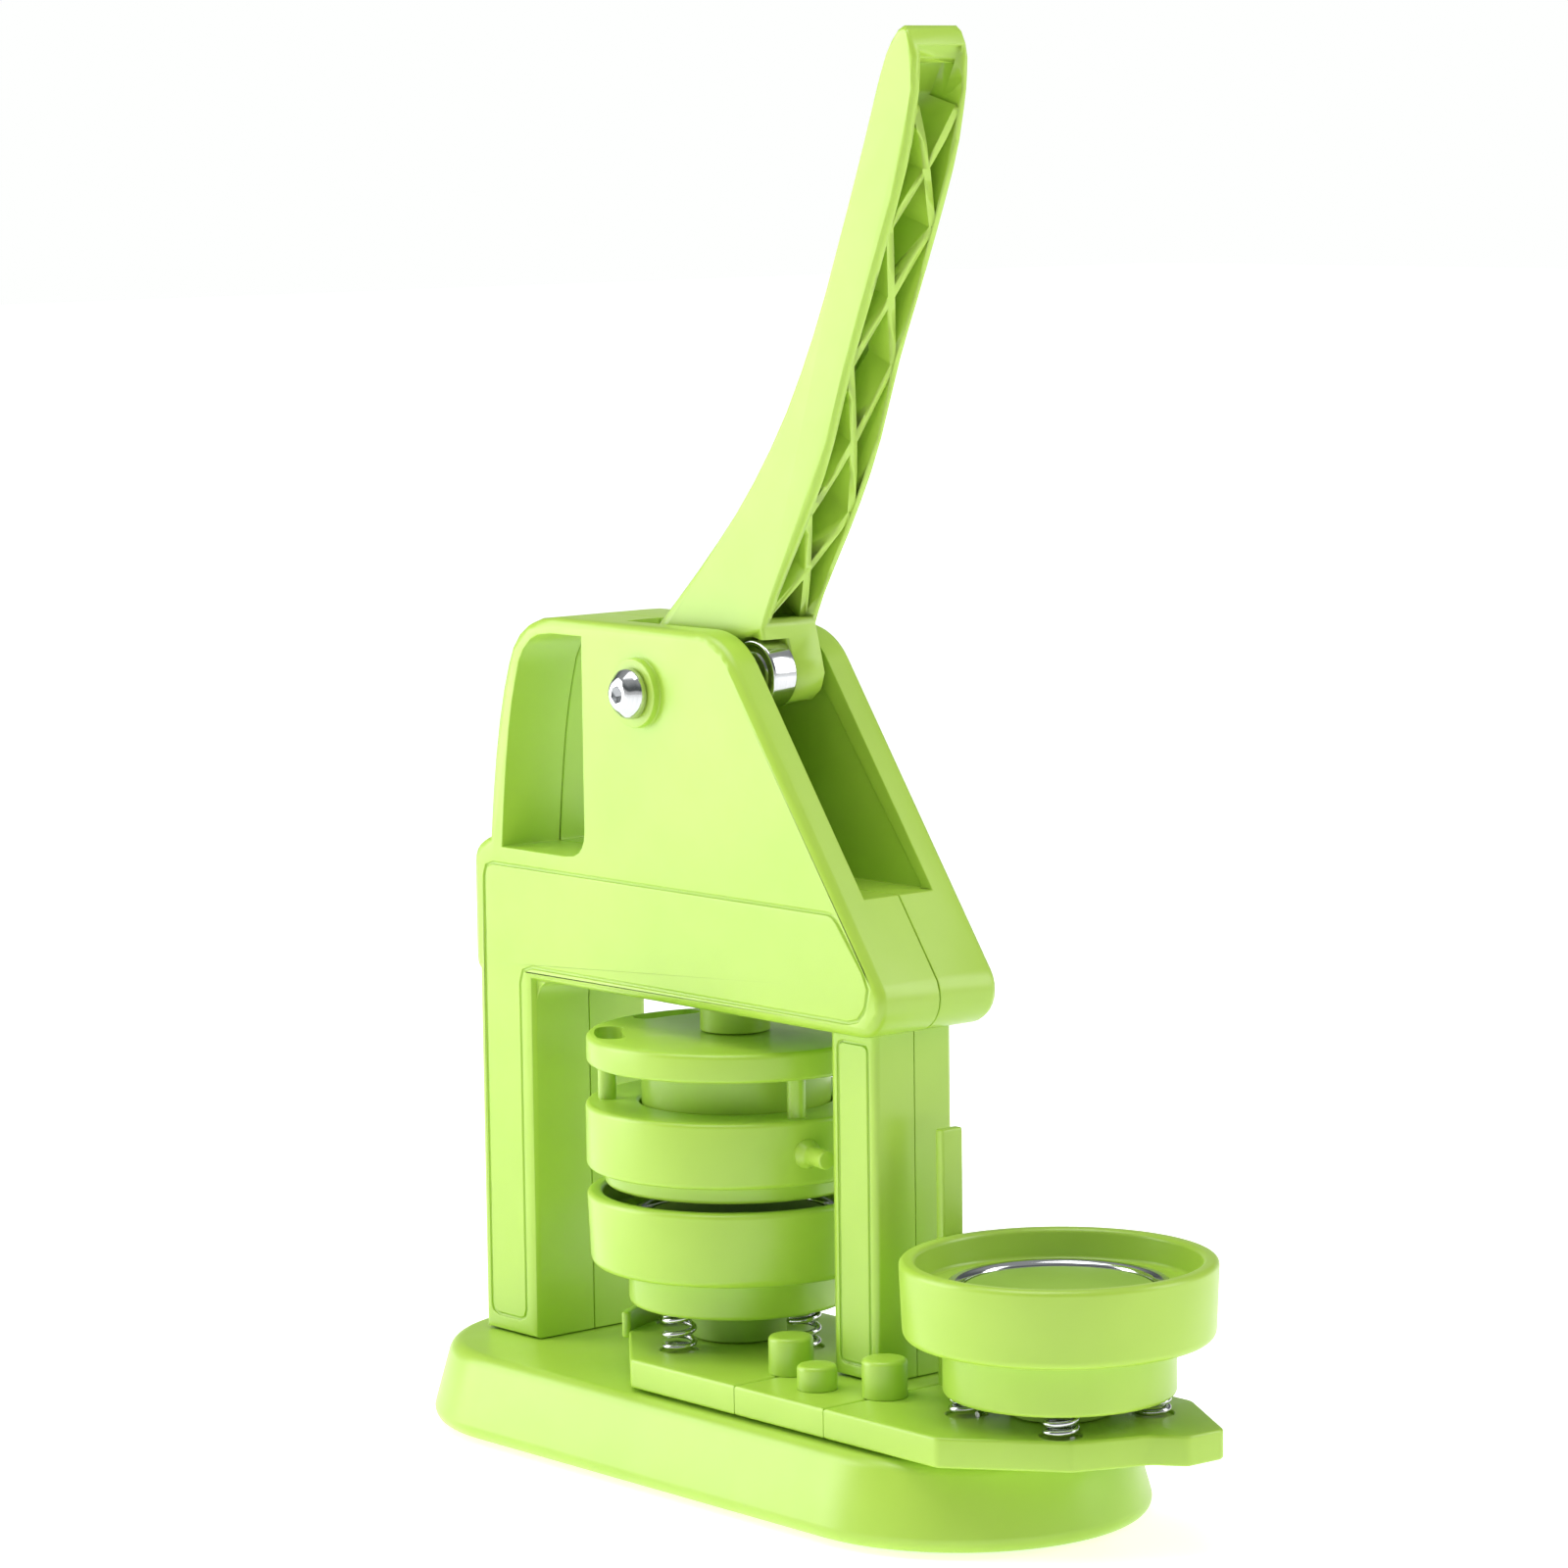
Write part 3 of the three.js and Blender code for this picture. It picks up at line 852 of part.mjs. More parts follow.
function makePlate() {
  const hubWidth = PLATE_SPLIT - FIT / 2;
  const hub = block(SWIVEL_X - hubWidth, SWIVEL_X + hubWidth, -PLATE_FRONT, PLATE_REAR, PLATE_BOTTOM, PLATE_TOP);
  // a tongue on each side reaches under the carrier's stepped edge
  const tongueTop = PLATE_BOTTOM + PLATE_THICKNESS / 2 - FIT / 2;
  const tongueReach = 12;
  const tongueHalf = 30;
  const tongue = block(SWIVEL_X - PLATE_SPLIT - tongueReach, SWIVEL_X + PLATE_SPLIT + tongueReach,
    -tongueHalf, tongueHalf, PLATE_BOTTOM, tongueTop);
  const pegHole = (x, y, r) => rod(r, SWIVEL_X + x, y, PLATE_BOTTOM - 1, PLATE_TOP + 1, SMALL_ROUND);
  const barHole = block(SWIVEL_X + PLATE_SPLIT - 0.5, SWIVEL_X + TOGGLE_INNER + TOGGLE_THICKNESS + FIT,
    TOGGLE_FRONT - FIT, TOGGLE_FRONT + TOGGLE_DEPTH + FIT, PLATE_BOTTOM - 1, PLATE_TOP + 1);
  const stem = 2.6;
  const swivelHole = rod(SWIVEL_PIN_RADIUS + SLIDE, SWIVEL_X, 0, PLATE_BOTTOM - 1, PLATE_TOP + 1, 24);
  const holes = [
    pegHole(-LOCK_PEG_X, LOCK_PEG_Y, stem + FIT), pegHole(LOCK_PEG_X, LOCK_PEG_Y, stem + FIT), barHole,
  ];
  put("swivel_hub_plate", cut(join(hub, tongue), swivelHole, pegHole(0, CENTRE_PEG_Y, stem + FIT), ...holes),
    GREEN);

  [["carrier_a", -1], ["carrier_b", 1]].forEach(([name, side]) => {
    const corners = carrierCorners().map(([x, y, r]) => [SWIVEL_X + side * x, y, r]);
    let body = plateXY(rounded(side > 0 ? corners : corners.reverse()), PLATE_BOTTOM, PLATE_TOP, 4);
    const step = block(
      SWIVEL_X + (side > 0 ? 0 : -PLATE_SPLIT - tongueReach - FIT),
      SWIVEL_X + (side > 0 ? PLATE_SPLIT + tongueReach + FIT : 0),
      -tongueHalf - FIT, tongueHalf + FIT, PLATE_BOTTOM - 1, tongueTop + FIT,
    );
    const dieX = SWIVEL_X + side * DIE_REACH;
    const pockets = springAngles(side).map((a) => rod(DIE_SPRING_RADIUS + 0.6, ...polar(dieX, DIE_SPRING_CIRCLE, a),
      PLATE_TOP - SPRING_POCKET, PLATE_TOP + 1, SMALL_ROUND));
    const dieHole = rod(SCREW_BORE + FIT, dieX, 0, PLATE_BOTTOM - 1, PLATE_TOP + 1, 12);
    const headRoom = rod(5.2, dieX, 0, PLATE_BOTTOM - 1, PLATE_BOTTOM + 3.2, SMALL_ROUND);
    body = cut(body, step, ...holes, ...pockets, dieHole, headRoom);
    if (side < 0) body = join(body, thumbLip());
    put(name, body, GREEN);
  });

  const knob = (x, y, radius, height) => join(
    turned([[0, PLATE_TOP + FIT], [radius, PLATE_TOP + FIT], [radius, PLATE_TOP + height - 1],
      [radius - 1, PLATE_TOP + height], [0, PLATE_TOP + height]], SWIVEL_X + x, y, 24),
    rod(stem, SWIVEL_X + x, y, PLATE_BOTTOM + 0.4, PLATE_TOP + 1, 12),
  );
  put("lock_peg_a", knob(-LOCK_PEG_X, LOCK_PEG_Y, LOCK_PEG_RADIUS, LOCK_PEG_HEIGHT), GREEN);
  put("lock_peg_b", knob(LOCK_PEG_X, LOCK_PEG_Y, LOCK_PEG_RADIUS, LOCK_PEG_HEIGHT), GREEN);
  put("centre_peg", knob(0, CENTRE_PEG_Y, CENTRE_PEG_RADIUS, CENTRE_PEG_HEIGHT), GREEN);
  const toggle = block(SWIVEL_X + TOGGLE_INNER, SWIVEL_X + TOGGLE_INNER + TOGGLE_THICKNESS, TOGGLE_FRONT,
    TOGGLE_FRONT + TOGGLE_DEPTH, PLATE_BOTTOM + 0.4, TABLE + TOGGLE_TOP);
  put("toggle_bar", toggle, GREEN);

  const headTop = BASE_CEILING - 7 - FIT;
  const pin = join(
    rod(SWIVEL_PIN_RADIUS, SWIVEL_X, 0, headTop - 1, PIN_TOP, 24),
    rod(SWIVEL_PIN_RADIUS + 4, SWIVEL_X, 0, headTop - 4, headTop, 24),
  );
  put("swivel_pin", pin, ZINC);
}

// The raised lip along the finger scallop of carrier A, round the neck of its cup.
function thumbLip() {
  const dieX = SWIVEL_X - DIE_REACH;
  const inner = NECK_RADIUS + SLIDE;
  const circle = inner + LIP_WALL / 2;
  const foot = arcSlot(dieX, circle - 1, LIP_WALL + 2, 183, 217, PLATE_BOTTOM, PLATE_TOP);
  return join(foot, arcSlot(dieX, circle, LIP_WALL, 183, 217, PLATE_TOP - 1, PLATE_TOP + LIP_RISE));
}

// ---------------------------------------------------------------- lower dies
function springAngles(side) {
  const first = side < 0 ? SPRING_ANGLE_A : SPRING_ANGLE_B;
  return [0, 90, 180, 270].map((a) => first + a);
}

function makeDie(letter, side, rim, neckBottom) {
  const x = SWIVEL_X + side * DIE_REACH;
  const z = (h) => TABLE + h;
  const ledge = rim - CUP_DEPTH;
  const skirt = rim - CUP_SKIRT_HEIGHT;
  const bore = STEEL_RING_OUTER + SLIDE;
  const steelTop = rim - STEEL_RING_DEPTH;
  const steelBottom = steelTop - STEEL_RING_HEIGHT;
  const plateTop = steelBottom - FIT;
  const plateBottom = plateTop - CORE_PLATE;
  const cup = turned([
    [HUB_RADIUS + SLIDE, z(neckBottom)], [NECK_RADIUS - 1, z(neckBottom)], [NECK_RADIUS, z(neckBottom + 1)],
    [NECK_RADIUS, z(skirt)], [DIE_RADIUS - 2.8, z(skirt)], [DIE_RADIUS - 0.7, z(skirt + 2)],
    [DIE_RADIUS, z(rim - 1.2)], [DIE_RADIUS - 1.2, z(rim)], [CUP_BORE, z(rim)],
    [CUP_BORE, z(ledge)], [bore, z(ledge)], [bore, z(plateBottom - FIT)],
    [HUB_RADIUS + SLIDE, z(plateBottom - FIT)],
  ], x, 0, DIE_ROUND);
  const pockets = springAngles(side).map((a) => rod(DIE_SPRING_RADIUS + FIT, ...polar(x, DIE_SPRING_CIRCLE, a),
    z(neckBottom - 1), z(neckBottom + CUP_POCKET), SMALL_ROUND));
  put(`cup_${letter}`, cut(cup, ...pockets), GREEN);

  put(`die_ring_${letter}`, turned([
    [STEEL_RING_INNER, z(steelBottom)], [STEEL_RING_OUTER, z(steelBottom)],
    [STEEL_RING_OUTER, z(steelTop - 1)], [STEEL_RING_OUTER - 1, z(steelTop)],
    [STEEL_RING_INNER + 1, z(steelTop)], [STEEL_RING_INNER, z(steelTop - 1)],
  ], x, 0, ROUND), CHROME);

  const coreTop = rim - CORE_DEPTH;
  const discRadius = STEEL_RING_INNER - FIT;
  put(`die_core_${letter}`, turned([
    [0, z(coreTop)], [discRadius - 0.5, z(coreTop)], [discRadius, z(coreTop - 0.5)], [discRadius, z(plateTop)],
    [STEEL_RING_OUTER, z(plateTop)], [STEEL_RING_OUTER, z(plateBottom)], [HUB_RADIUS, z(plateBottom)],
    [HUB_RADIUS, PLATE_TOP + FIT], [SCREW_BORE + FIT, PLATE_TOP + FIT], [SCREW_BORE + FIT, z(coreTop - 3)],
    [0, z(coreTop - 3)],
  ], x, 0, ROUND), DARK_GREEN);
  const screw = join(
    rod(SCREW_BORE, x, 0, PLATE_BOTTOM + 0.4, z(coreTop - 4), 12),
    rod(4.8, x, 0, PLATE_BOTTOM + 0.4, PLATE_BOTTOM + 2.8, SMALL_ROUND),
  );
  put(`die_screw_${letter}`, screw, ZINC);

  springAngles(side).forEach((a, i) => {
    const [sx, sy] = polar(x, DIE_SPRING_CIRCLE, a);
    put(`die_spring_${letter}${i + 1}`, coilSpring(DIE_SPRING_RADIUS, DIE_SPRING_WIRE, DIE_SPRING_TURNS, sx, sy,
      PLATE_TOP - SPRING_POCKET + FIT, z(neckBottom + CUP_POCKET) - FIT), CHROME);
  });
}

makeBase();
makeFrame();
makeLever();
makeRam();
makePlate();
makeDie("a", -1, CUP_A_RIM, NECK_A_BOTTOM);
makeDie("b", 1, CUP_B_RIM, NECK_B_BOTTOM);

export default object;
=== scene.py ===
"""Looks of a hand press for pin badges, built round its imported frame.

Every size is in millimetres and becomes metres where a mesh is made. X runs along the base, -Y is
the front, +Z is up, and heights are measured from the table. Round pieces are turned from filleted
profiles, plates are lofted from rounded outlines, springs are wire carried along a helix, and the
two frame shells and the lever keep their moulded form with softened edges.
"""

import logging
import math
from dataclasses import dataclass, field
from enum import Enum

import bmesh
import bpy
import numpy as np
from mathutils import Matrix, Vector

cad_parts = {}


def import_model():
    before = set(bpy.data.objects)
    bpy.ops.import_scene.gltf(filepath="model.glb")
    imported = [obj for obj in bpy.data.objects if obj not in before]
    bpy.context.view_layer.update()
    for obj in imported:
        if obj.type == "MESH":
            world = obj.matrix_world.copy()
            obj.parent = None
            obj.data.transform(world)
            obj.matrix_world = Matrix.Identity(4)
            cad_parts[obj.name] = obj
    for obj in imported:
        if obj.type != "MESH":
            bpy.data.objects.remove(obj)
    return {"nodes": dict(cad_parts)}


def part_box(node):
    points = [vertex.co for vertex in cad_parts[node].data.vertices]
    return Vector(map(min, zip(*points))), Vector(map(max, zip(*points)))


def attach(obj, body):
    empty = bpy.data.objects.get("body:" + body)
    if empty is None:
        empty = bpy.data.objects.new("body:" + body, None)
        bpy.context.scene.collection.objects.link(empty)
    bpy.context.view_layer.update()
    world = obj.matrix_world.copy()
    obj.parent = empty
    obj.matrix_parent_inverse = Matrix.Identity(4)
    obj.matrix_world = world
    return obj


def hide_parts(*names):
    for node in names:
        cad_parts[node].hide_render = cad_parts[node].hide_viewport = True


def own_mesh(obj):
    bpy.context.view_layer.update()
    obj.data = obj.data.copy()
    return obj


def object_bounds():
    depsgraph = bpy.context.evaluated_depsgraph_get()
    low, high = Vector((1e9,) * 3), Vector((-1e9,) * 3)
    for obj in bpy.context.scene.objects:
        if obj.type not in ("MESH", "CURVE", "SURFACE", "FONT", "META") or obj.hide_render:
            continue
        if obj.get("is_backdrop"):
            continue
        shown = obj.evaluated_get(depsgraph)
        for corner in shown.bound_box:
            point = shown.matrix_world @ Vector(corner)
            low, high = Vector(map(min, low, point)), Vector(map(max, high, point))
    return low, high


MM = 0.001
WELD = 2e-6  # metres: points closer than this are one point
LOG = logging.getLogger("badge_press")


class Axis(Enum):
    """Which way the axis of a turned piece points."""

    UP = 0
    BACK = 1


class Slot(Enum):
    """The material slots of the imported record."""

    GREEN = "green_moulding"
    DEEP_GREEN = "deep_green_moulding"
    NYLON = "nylon"
    BRIGHT_STEEL = "bright_steel"
    ZINC_STEEL = "zinc_steel"
    RUBBER = "black_rubber"


# ---------------------------------------------------------------- finishes
def linear(code: str) -> tuple[float, float, float, float]:
    """Turn a sRGB hex value to a linear colour.

    Args:
        code: the colour as "#RRGGBB".

    Returns:
        Red, green, blue and an alpha of 1.
    """
    values = [int(code[i : i + 2], 16) / 255 for i in (1, 3, 5)]
    channels = [v / 12.92 if v <= 0.04045 else ((v + 0.055) / 1.055) ** 2.4 for v in values]
    return (channels[0], channels[1], channels[2], 1.0)


def add_node(tree: bpy.types.NodeTree, kind: str, inputs: dict | None = None, **settings: object) -> bpy.types.Node:
    """Add a node with its settings, values and links.

    Args:
        tree: the node tree it goes into.
        kind: the node's type name.
        inputs: socket name or number to a value, or to the output socket that feeds it.
        settings: the node's own properties.

    Returns:
        The new node.
    """
    made = tree.nodes.new(kind)
    for key, value in settings.items():
        setattr(made, key, value)
    for key, value in (inputs or {}).items():
        if isinstance(value, bpy.types.NodeSocket):
            tree.links.new(value, made.inputs[key])
        else:
            made.inputs[key].default_value = value
    return made


def per_metre(size: float) -> float:
    """Give the noise scale whose features are about size millimetres across."""
    return 1 / (size * MM)


def blank_material(name: str) -> tuple[bpy.types.Material, bpy.types.NodeTree]:
    """Start a material with an empty node tree.

    Args:
        name: the material's name.

    Returns:
        The material and its tree.
    """
    material = bpy.data.materials.new(name)
    material.use_nodes = True
    material.node_tree.nodes.clear()
    return material, material.node_tree


def close_material(tree: bpy.types.NodeTree, inputs: dict) -> None:
    """Add the shader and the output.

    Args:
        tree: the material's tree.
        inputs: what feeds the shader, by socket name.
    """
    shader = add_node(tree, "ShaderNodeBsdfPrincipled", inputs)
    add_node(tree, "ShaderNodeOutputMaterial", {"Surface": shader.outputs["BSDF"]})


@dataclass(frozen=True)
class MouldedPlastic:
    """Injection-moulded ABS: one even colour with a faint cloudiness from the melt's flow, a satin
    gloss that drifts a little over each face, and the very fine grain of a spark-finished mould."""

    name: str
    colour: str
    flow_colour: str
    roughness: float = 0.33
    flow_size: float = 38.0  # the melt's cloudiness
    gloss_size: float = 9.0  # patches of slightly different gloss
    grain_size: float = 0.5  # real mould grain is near 0.05, drawn coarser so that it shows
    grain_depth: float = 0.006

    def build(self) -> bpy.types.Material:
        """Make the material: flow colour, gloss drift and grain, all from Object coordinates."""
        material, tree = blank_material(self.name)
        place = add_node(tree, "ShaderNodeTexCoord").outputs["Object"]
        flow = add_node(tree, "ShaderNodeTexNoise", {
            "Vector": place, "Scale": per_metre(self.flow_size), "Detail": 3.0})
        spread = add_node(tree, "ShaderNodeMapRange", {
            "Value": flow.outputs["Fac"], "From Min": 0.35, "From Max": 0.65, "To Min": 0.0, "To Max": 1.0})
        colour = add_node(tree, "ShaderNodeMix", {"Factor": spread.outputs["Result"]}, data_type="RGBA")
        # the colour sockets of a Mix node share their names with its number sockets
        colour.inputs[6].default_value = linear(self.colour)
        colour.inputs[7].default_value = linear(self.flow_colour)
        gloss = add_node(tree, "ShaderNodeTexNoise", {
            "Vector": place, "Scale": per_metre(self.gloss_size), "Detail": 2.0})
        rough = add_node(tree, "ShaderNodeMapRange", {
            "Value": gloss.outputs["Fac"], "To Min": self.roughness - 0.05, "To Max": self.roughness + 0.05})
        grain = add_node(tree, "ShaderNodeTexNoise", {
            "Vector": place, "Scale": per_metre(self.grain_size), "Detail": 2.0})
        bump = add_node(tree, "ShaderNodeBump", {
            "Height": grain.outputs["Fac"], "Distance": self.grain_depth * MM, "Strength": 0.6})
        close_material(tree, {
            "Base Color": colour.outputs[2], "Roughness": rough.outputs["Result"], "Normal": bump.outputs["Normal"],
            "IOR": 1.6, "Subsurface Weight": 0.06, "Subsurface Radius": (0.8, 1.0, 0.2), "Subsurface Scale": 0.002})
        return material


@dataclass(frozen=True)
class PlatedSteel:
    """Turned or drawn steel under bright nickel plate: near-mirror, with fine tool lines that run
    round the piece, read from its own surface map."""

    name: str
    colour: str = "#DADBDC"
    line_colour: str = "#C3C5C7"
    roughness: float = 0.13
    line_spacing: float = 0.25  # real tool lines are near 0.1, drawn coarser so that they show
    line_depth: float = 0.002

    def build(self) -> bpy.types.Material:
        """Make the material: tool lines along the surface map, and a slightly clouded gloss."""
        material, tree = blank_material(self.name)
        coordinates = add_node(tree, "ShaderNodeTexCoord")
        lines = add_node(tree, "ShaderNodeMapping", {
            "Vector": coordinates.outputs["UV"], "Scale": (1.5, per_metre(self.line_spacing), 1.0)})
        tool = add_node(tree, "ShaderNodeTexNoise", {"Vector": lines.outputs["Vector"], "Scale": 1.0, "Detail": 1.0})
        cloud = add_node(tree, "ShaderNodeTexNoise", {
            "Vector": coordinates.outputs["Object"], "Scale": per_metre(4.0), "Detail": 2.0})
        colour = add_node(tree, "ShaderNodeMix", {0: tool.outputs["Fac"]}, data_type="RGBA")
        colour.inputs[6].default_value = linear(self.colour)
        colour.inputs[7].default_value = linear(self.line_colour)
        rough = add_node(tree, "ShaderNodeMapRange", {
            "Value": cloud.outputs["Fac"], "To Min": self.roughness - 0.04, "To Max": self.roughness + 0.06})
        bump = add_node(tree, "ShaderNodeBump", {
            "Height": tool.outputs["Fac"], "Distance": self.line_depth * MM, "Strength": 0.5})
        close_material(tree, {
            "Base Color": colour.outputs[2], "Metallic": 1.0, "Roughness": rough.outputs["Result"],
            "Normal": bump.outputs["Normal"]})
        return material


@dataclass(frozen=True)
class SpeckledSolid:
    """A piece whose look is a fine speckle: zinc passivate on steel, nylon or moulded rubber."""

    name: str
    colour: str
    speck_colour: str
    roughness: float
    metallic: float = 0.0
    speck_size: float = 1.2
    grain_depth: float = 0.01

    def build(self) -> bpy.types.Material:
        """Make the material: speckle colour, matching gloss and a fine relief."""
        material, tree = blank_material(self.name)
        place = add_node(tree, "ShaderNodeTexCoord").outputs["Object"]
        speck = add_node(tree, "ShaderNodeTexNoise", {
            "Vector": place, "Scale": per_metre(self.speck_size), "Detail": 4.0})
        colour = add_node(tree, "ShaderNodeMix", {0: speck.outputs["Fac"]}, data_type="RGBA")
        colour.inputs[6].default_value = linear(self.colour)
        colour.inputs[7].default_value = linear(self.speck_colour)
        rough = add_node(tree, "ShaderNodeMapRange", {
            "Value": speck.outputs["Fac"], "To Min": self.roughness - 0.06, "To Max": self.roughness + 0.06})
        bump = add_node(tree, "ShaderNodeBump", {
            "Height": speck.outputs["Fac"], "Distance": self.grain_depth * MM, "Strength": 0.5})
        close_material(tree, {
            "Base Color": colour.outputs[2], "Metallic": self.metallic, "Roughness": rough.outputs["Result"],
            "Normal": bump.outputs["Normal"]})
        return material


@dataclass
class Finishes:
    """The press's materials, one for each slot of the record."""

    made: dict[Slot, bpy.types.Material] = field(default_factory=dict)

    def build(self) -> "Finishes":
        """Make every material once."""
        recipes = {
            Slot.GREEN: MouldedPlastic("lime_abs_moulding", "#ABD046", "#B1D54E"),
            Slot.DEEP_GREEN: MouldedPlastic("deep_lime_abs_moulding", "#8FB63A", "#97BE42", roughness=0.55),
            Slot.NYLON: SpeckledSolid("natural_nylon", "#E9E7DD", "#DFDCCF", 0.42, speck_size=3.0),
            Slot.BRIGHT_STEEL: PlatedSteel("bright_nickel_plated_steel"),
            Slot.ZINC_STEEL: SpeckledSolid("zinc_plated_steel", "#B9BDC1", "#A3A7AB", 0.34, metallic=1.0),
            Slot.RUBBER: SpeckledSolid("black_nitrile_rubber", "#262726", "#333432", 0.8, speck_size=0.8,
                                       grain_depth=0.05),
        }
        self.made = {slot: recipe.build() for slot, recipe in recipes.items()}
        return self

    def of(self, slot: Slot) -> bpy.types.Material:
        """Give the material of a slot."""
        return self.made[slot]


# ---------------------------------------------------------------- surfaces
@dataclass
class Skin:
    """A surface before it becomes a mesh: points in millimetres, faces, and a map for each face corner."""

    points: np.ndarray
    faces: list[list[int]]
    corners: np.ndarray

    def turned_to(self, matrix: np.ndarray, place: tuple[float, float, float]) -> "Skin":
        """Turn the points by a 3 by 3 matrix and move them to a place.

        Args:
            matrix: the rotation.
            place: where the old origin goes.

        Returns:
            The moved skin.
        """
        return Skin(self.points @ matrix.T + np.array(place), self.faces, self.corners)


def grid_skin(points: np.ndarray, wrap_rows: bool, wrap_columns: bool, row_map: np.ndarray | None = None) -> Skin:
    """Cover a grid of points with four-sided faces.

    Args:
        points: rows by columns by 3.
        wrap_rows: whether the last row joins the first.
        wrap_columns: whether the last column joins the first.
        row_map: the map's second coordinate of each row, and one more for a wrapped grid.

    Returns:
        The skin, whose map runs 0 to 1 along the columns.
    """
    rows, columns = points.shape[:2]
    r = np.arange(rows if wrap_rows else rows - 1)[:, None]
    c = np.arange(columns if wrap_columns else columns - 1)[None, :]
    r_next, c_next = (r + 1) % rows, (c + 1) % columns
    faces = np.stack([r * columns + c, r * columns + c_next, r_next * columns + c_next, r_next * columns + c], -1)
    down = np.arange(rows + 1, dtype=float) if row_map is None else row_map
    u0, u1 = np.broadcast_to(c / columns, faces.shape[:2]), np.broadcast_to((c + 1) / columns, faces.shape[:2])
    v0, v1 = np.broadcast_to(down[r], faces.shape[:2]), np.broadcast_to(down[r + 1], faces.shape[:2])
    corners = np.stack([np.stack(pair, -1) for pair in ((u0, v0), (u1, v0), (u1, v1), (u0, v1))], -2)
    return Skin(points.reshape(-1, 3), faces.reshape(-1, 4).tolist(), corners.reshape(-1, 2))


def line_lengths(line: np.ndarray, closed: bool) -> np.ndarray:
    """Measure how far along a line each point is, in metres.

    Args:
        line: points, one a row.
        closed: whether the last point joins the first, which adds one more length.

    Returns:
        The running length, with one value more than the points where the line is closed.
    """
    ring = np.vstack([line, line[:1]]) if closed else np.vstack([line, line[-1:]])
    steps = np.linalg.norm(np.diff(ring, axis=0), axis=1)
    return np.concatenate([[0.0], np.cumsum(steps)]) * MM


def fillet(corners: list[tuple[float, ...]], closed: bool = True, steps: int = 7) -> np.ndarray:
    """Round the corners of a line with true arcs.

    A corner's arc touches both its edges at its radius over the tangent of half the corner's angle,
    and is the rational quadratic curve from one touching point to the other whose middle point is
    the corner with the sine of half the angle as its weight.

    Args:
        corners: (x, y, radius) for each, the radius left out where the corner is sharp.
        closed: whether the line closes on itself. An open line keeps its ends.
        steps: points on each arc.

    Returns:
        The line's points, two columns.
    """
    at = np.array([corner[:2] for corner in corners], float)
    radius = np.array([corner[2] if len(corner) > 2 else 0.0 for corner in corners])
    if not closed:
        radius[[0, -1]] = 0
    before, after = np.roll(at, 1, 0) - at, np.roll(at, -1, 0) - at
    long_before, long_after = np.linalg.norm(before, axis=1), np.linalg.norm(after, axis=1)
    before, after = before / long_before[:, None], after / long_after[:, None]
    half = np.arccos(np.clip((before * after).sum(1), -1, 1)) / 2
    reach = np.minimum(radius / np.maximum(np.tan(half), 1e-6), 0.49 * np.minimum(long_before, long_after))
    start, end = at + before * reach[:, None], at + after * reach[:, None]
    t = np.linspace(0, 1, steps)[None, :, None]
    weight = np.sin(half)[:, None, None]
    top = (1 - t) ** 2 * start[:, None] + 2 * weight * t * (1 - t) * at[:, None] + t**2 * end[:, None]
    line = (top / ((1 - t) ** 2 + 2 * weight * t * (1 - t) + t**2)).reshape(-1, 2)
    apart = np.linalg.norm(line - np.roll(line, 1, 0), axis=1) > 1e-3
    apart[0] = True if not closed else apart[0]
    return line[apart]


def turned(corners: list[tuple[float, ...]], centre: tuple[float, float], closed: bool = True,
           axis: Axis = Axis.UP, around: int = 96) -> Skin:
    """Turn a filleted profile about an axis.

    A point of the profile at radius r and height h goes to (r cos a, r sin a, h) for every angle a
    of the turn. About an axis that points back, the height becomes depth along +Y.

    Args:
        corners: the profile as (radius, height, rounding).
        centre: where the axis stands: (x, y), or (x, z) for an axis that points back.
        closed: whether the profile closes on itself. An open one starts and ends on the axis.
        axis: which way the axis points.
        around: facets round the turn.

    Returns:
        The turned skin.
    """
    line = fillet(corners, closed)
    angle = np.linspace(0, 2 * np.pi, around, endpoint=False)
    across, along = line[:, :1] * np.cos(angle), line[:, :1] * np.sin(angle)
    height = np.broadcast_to(line[:, 1:], across.shape)
    if axis is Axis.UP:
        points = np.stack([centre[0] + across, centre[1] + along, height], -1)
    else:
        points = np.stack([centre[0] + across, height, centre[1] + along], -1)
    return grid_skin(points, closed, True, line_lengths(line, closed))


def moved_in(outline: np.ndarray, distance: np.ndarray) -> np.ndarray:
    """Move a closed outline inwards by each of several distances.

    Each point goes along the sum of its two edges' unit normals, divided by one plus their dot
    product, so that both edges move by the distance.

    Args:
        outline: points in counter-clockwise order, two columns.
        distance: how far in, one for each copy.

    Returns:
        Copies by points by 2.
    """
    edge = np.roll(outline, -1, 0) - outline
    normal = np.stack([-edge[:, 1], edge[:, 0]], -1) / np.linalg.norm(edge, axis=1)[:, None]
    previous = np.roll(normal, 1, 0)
    share = 1 + (normal * previous).sum(1)
    step = (normal + previous) / np.maximum(share, 0.35)[:, None]
    return outline[None] + distance[:, None, None] * step[None]


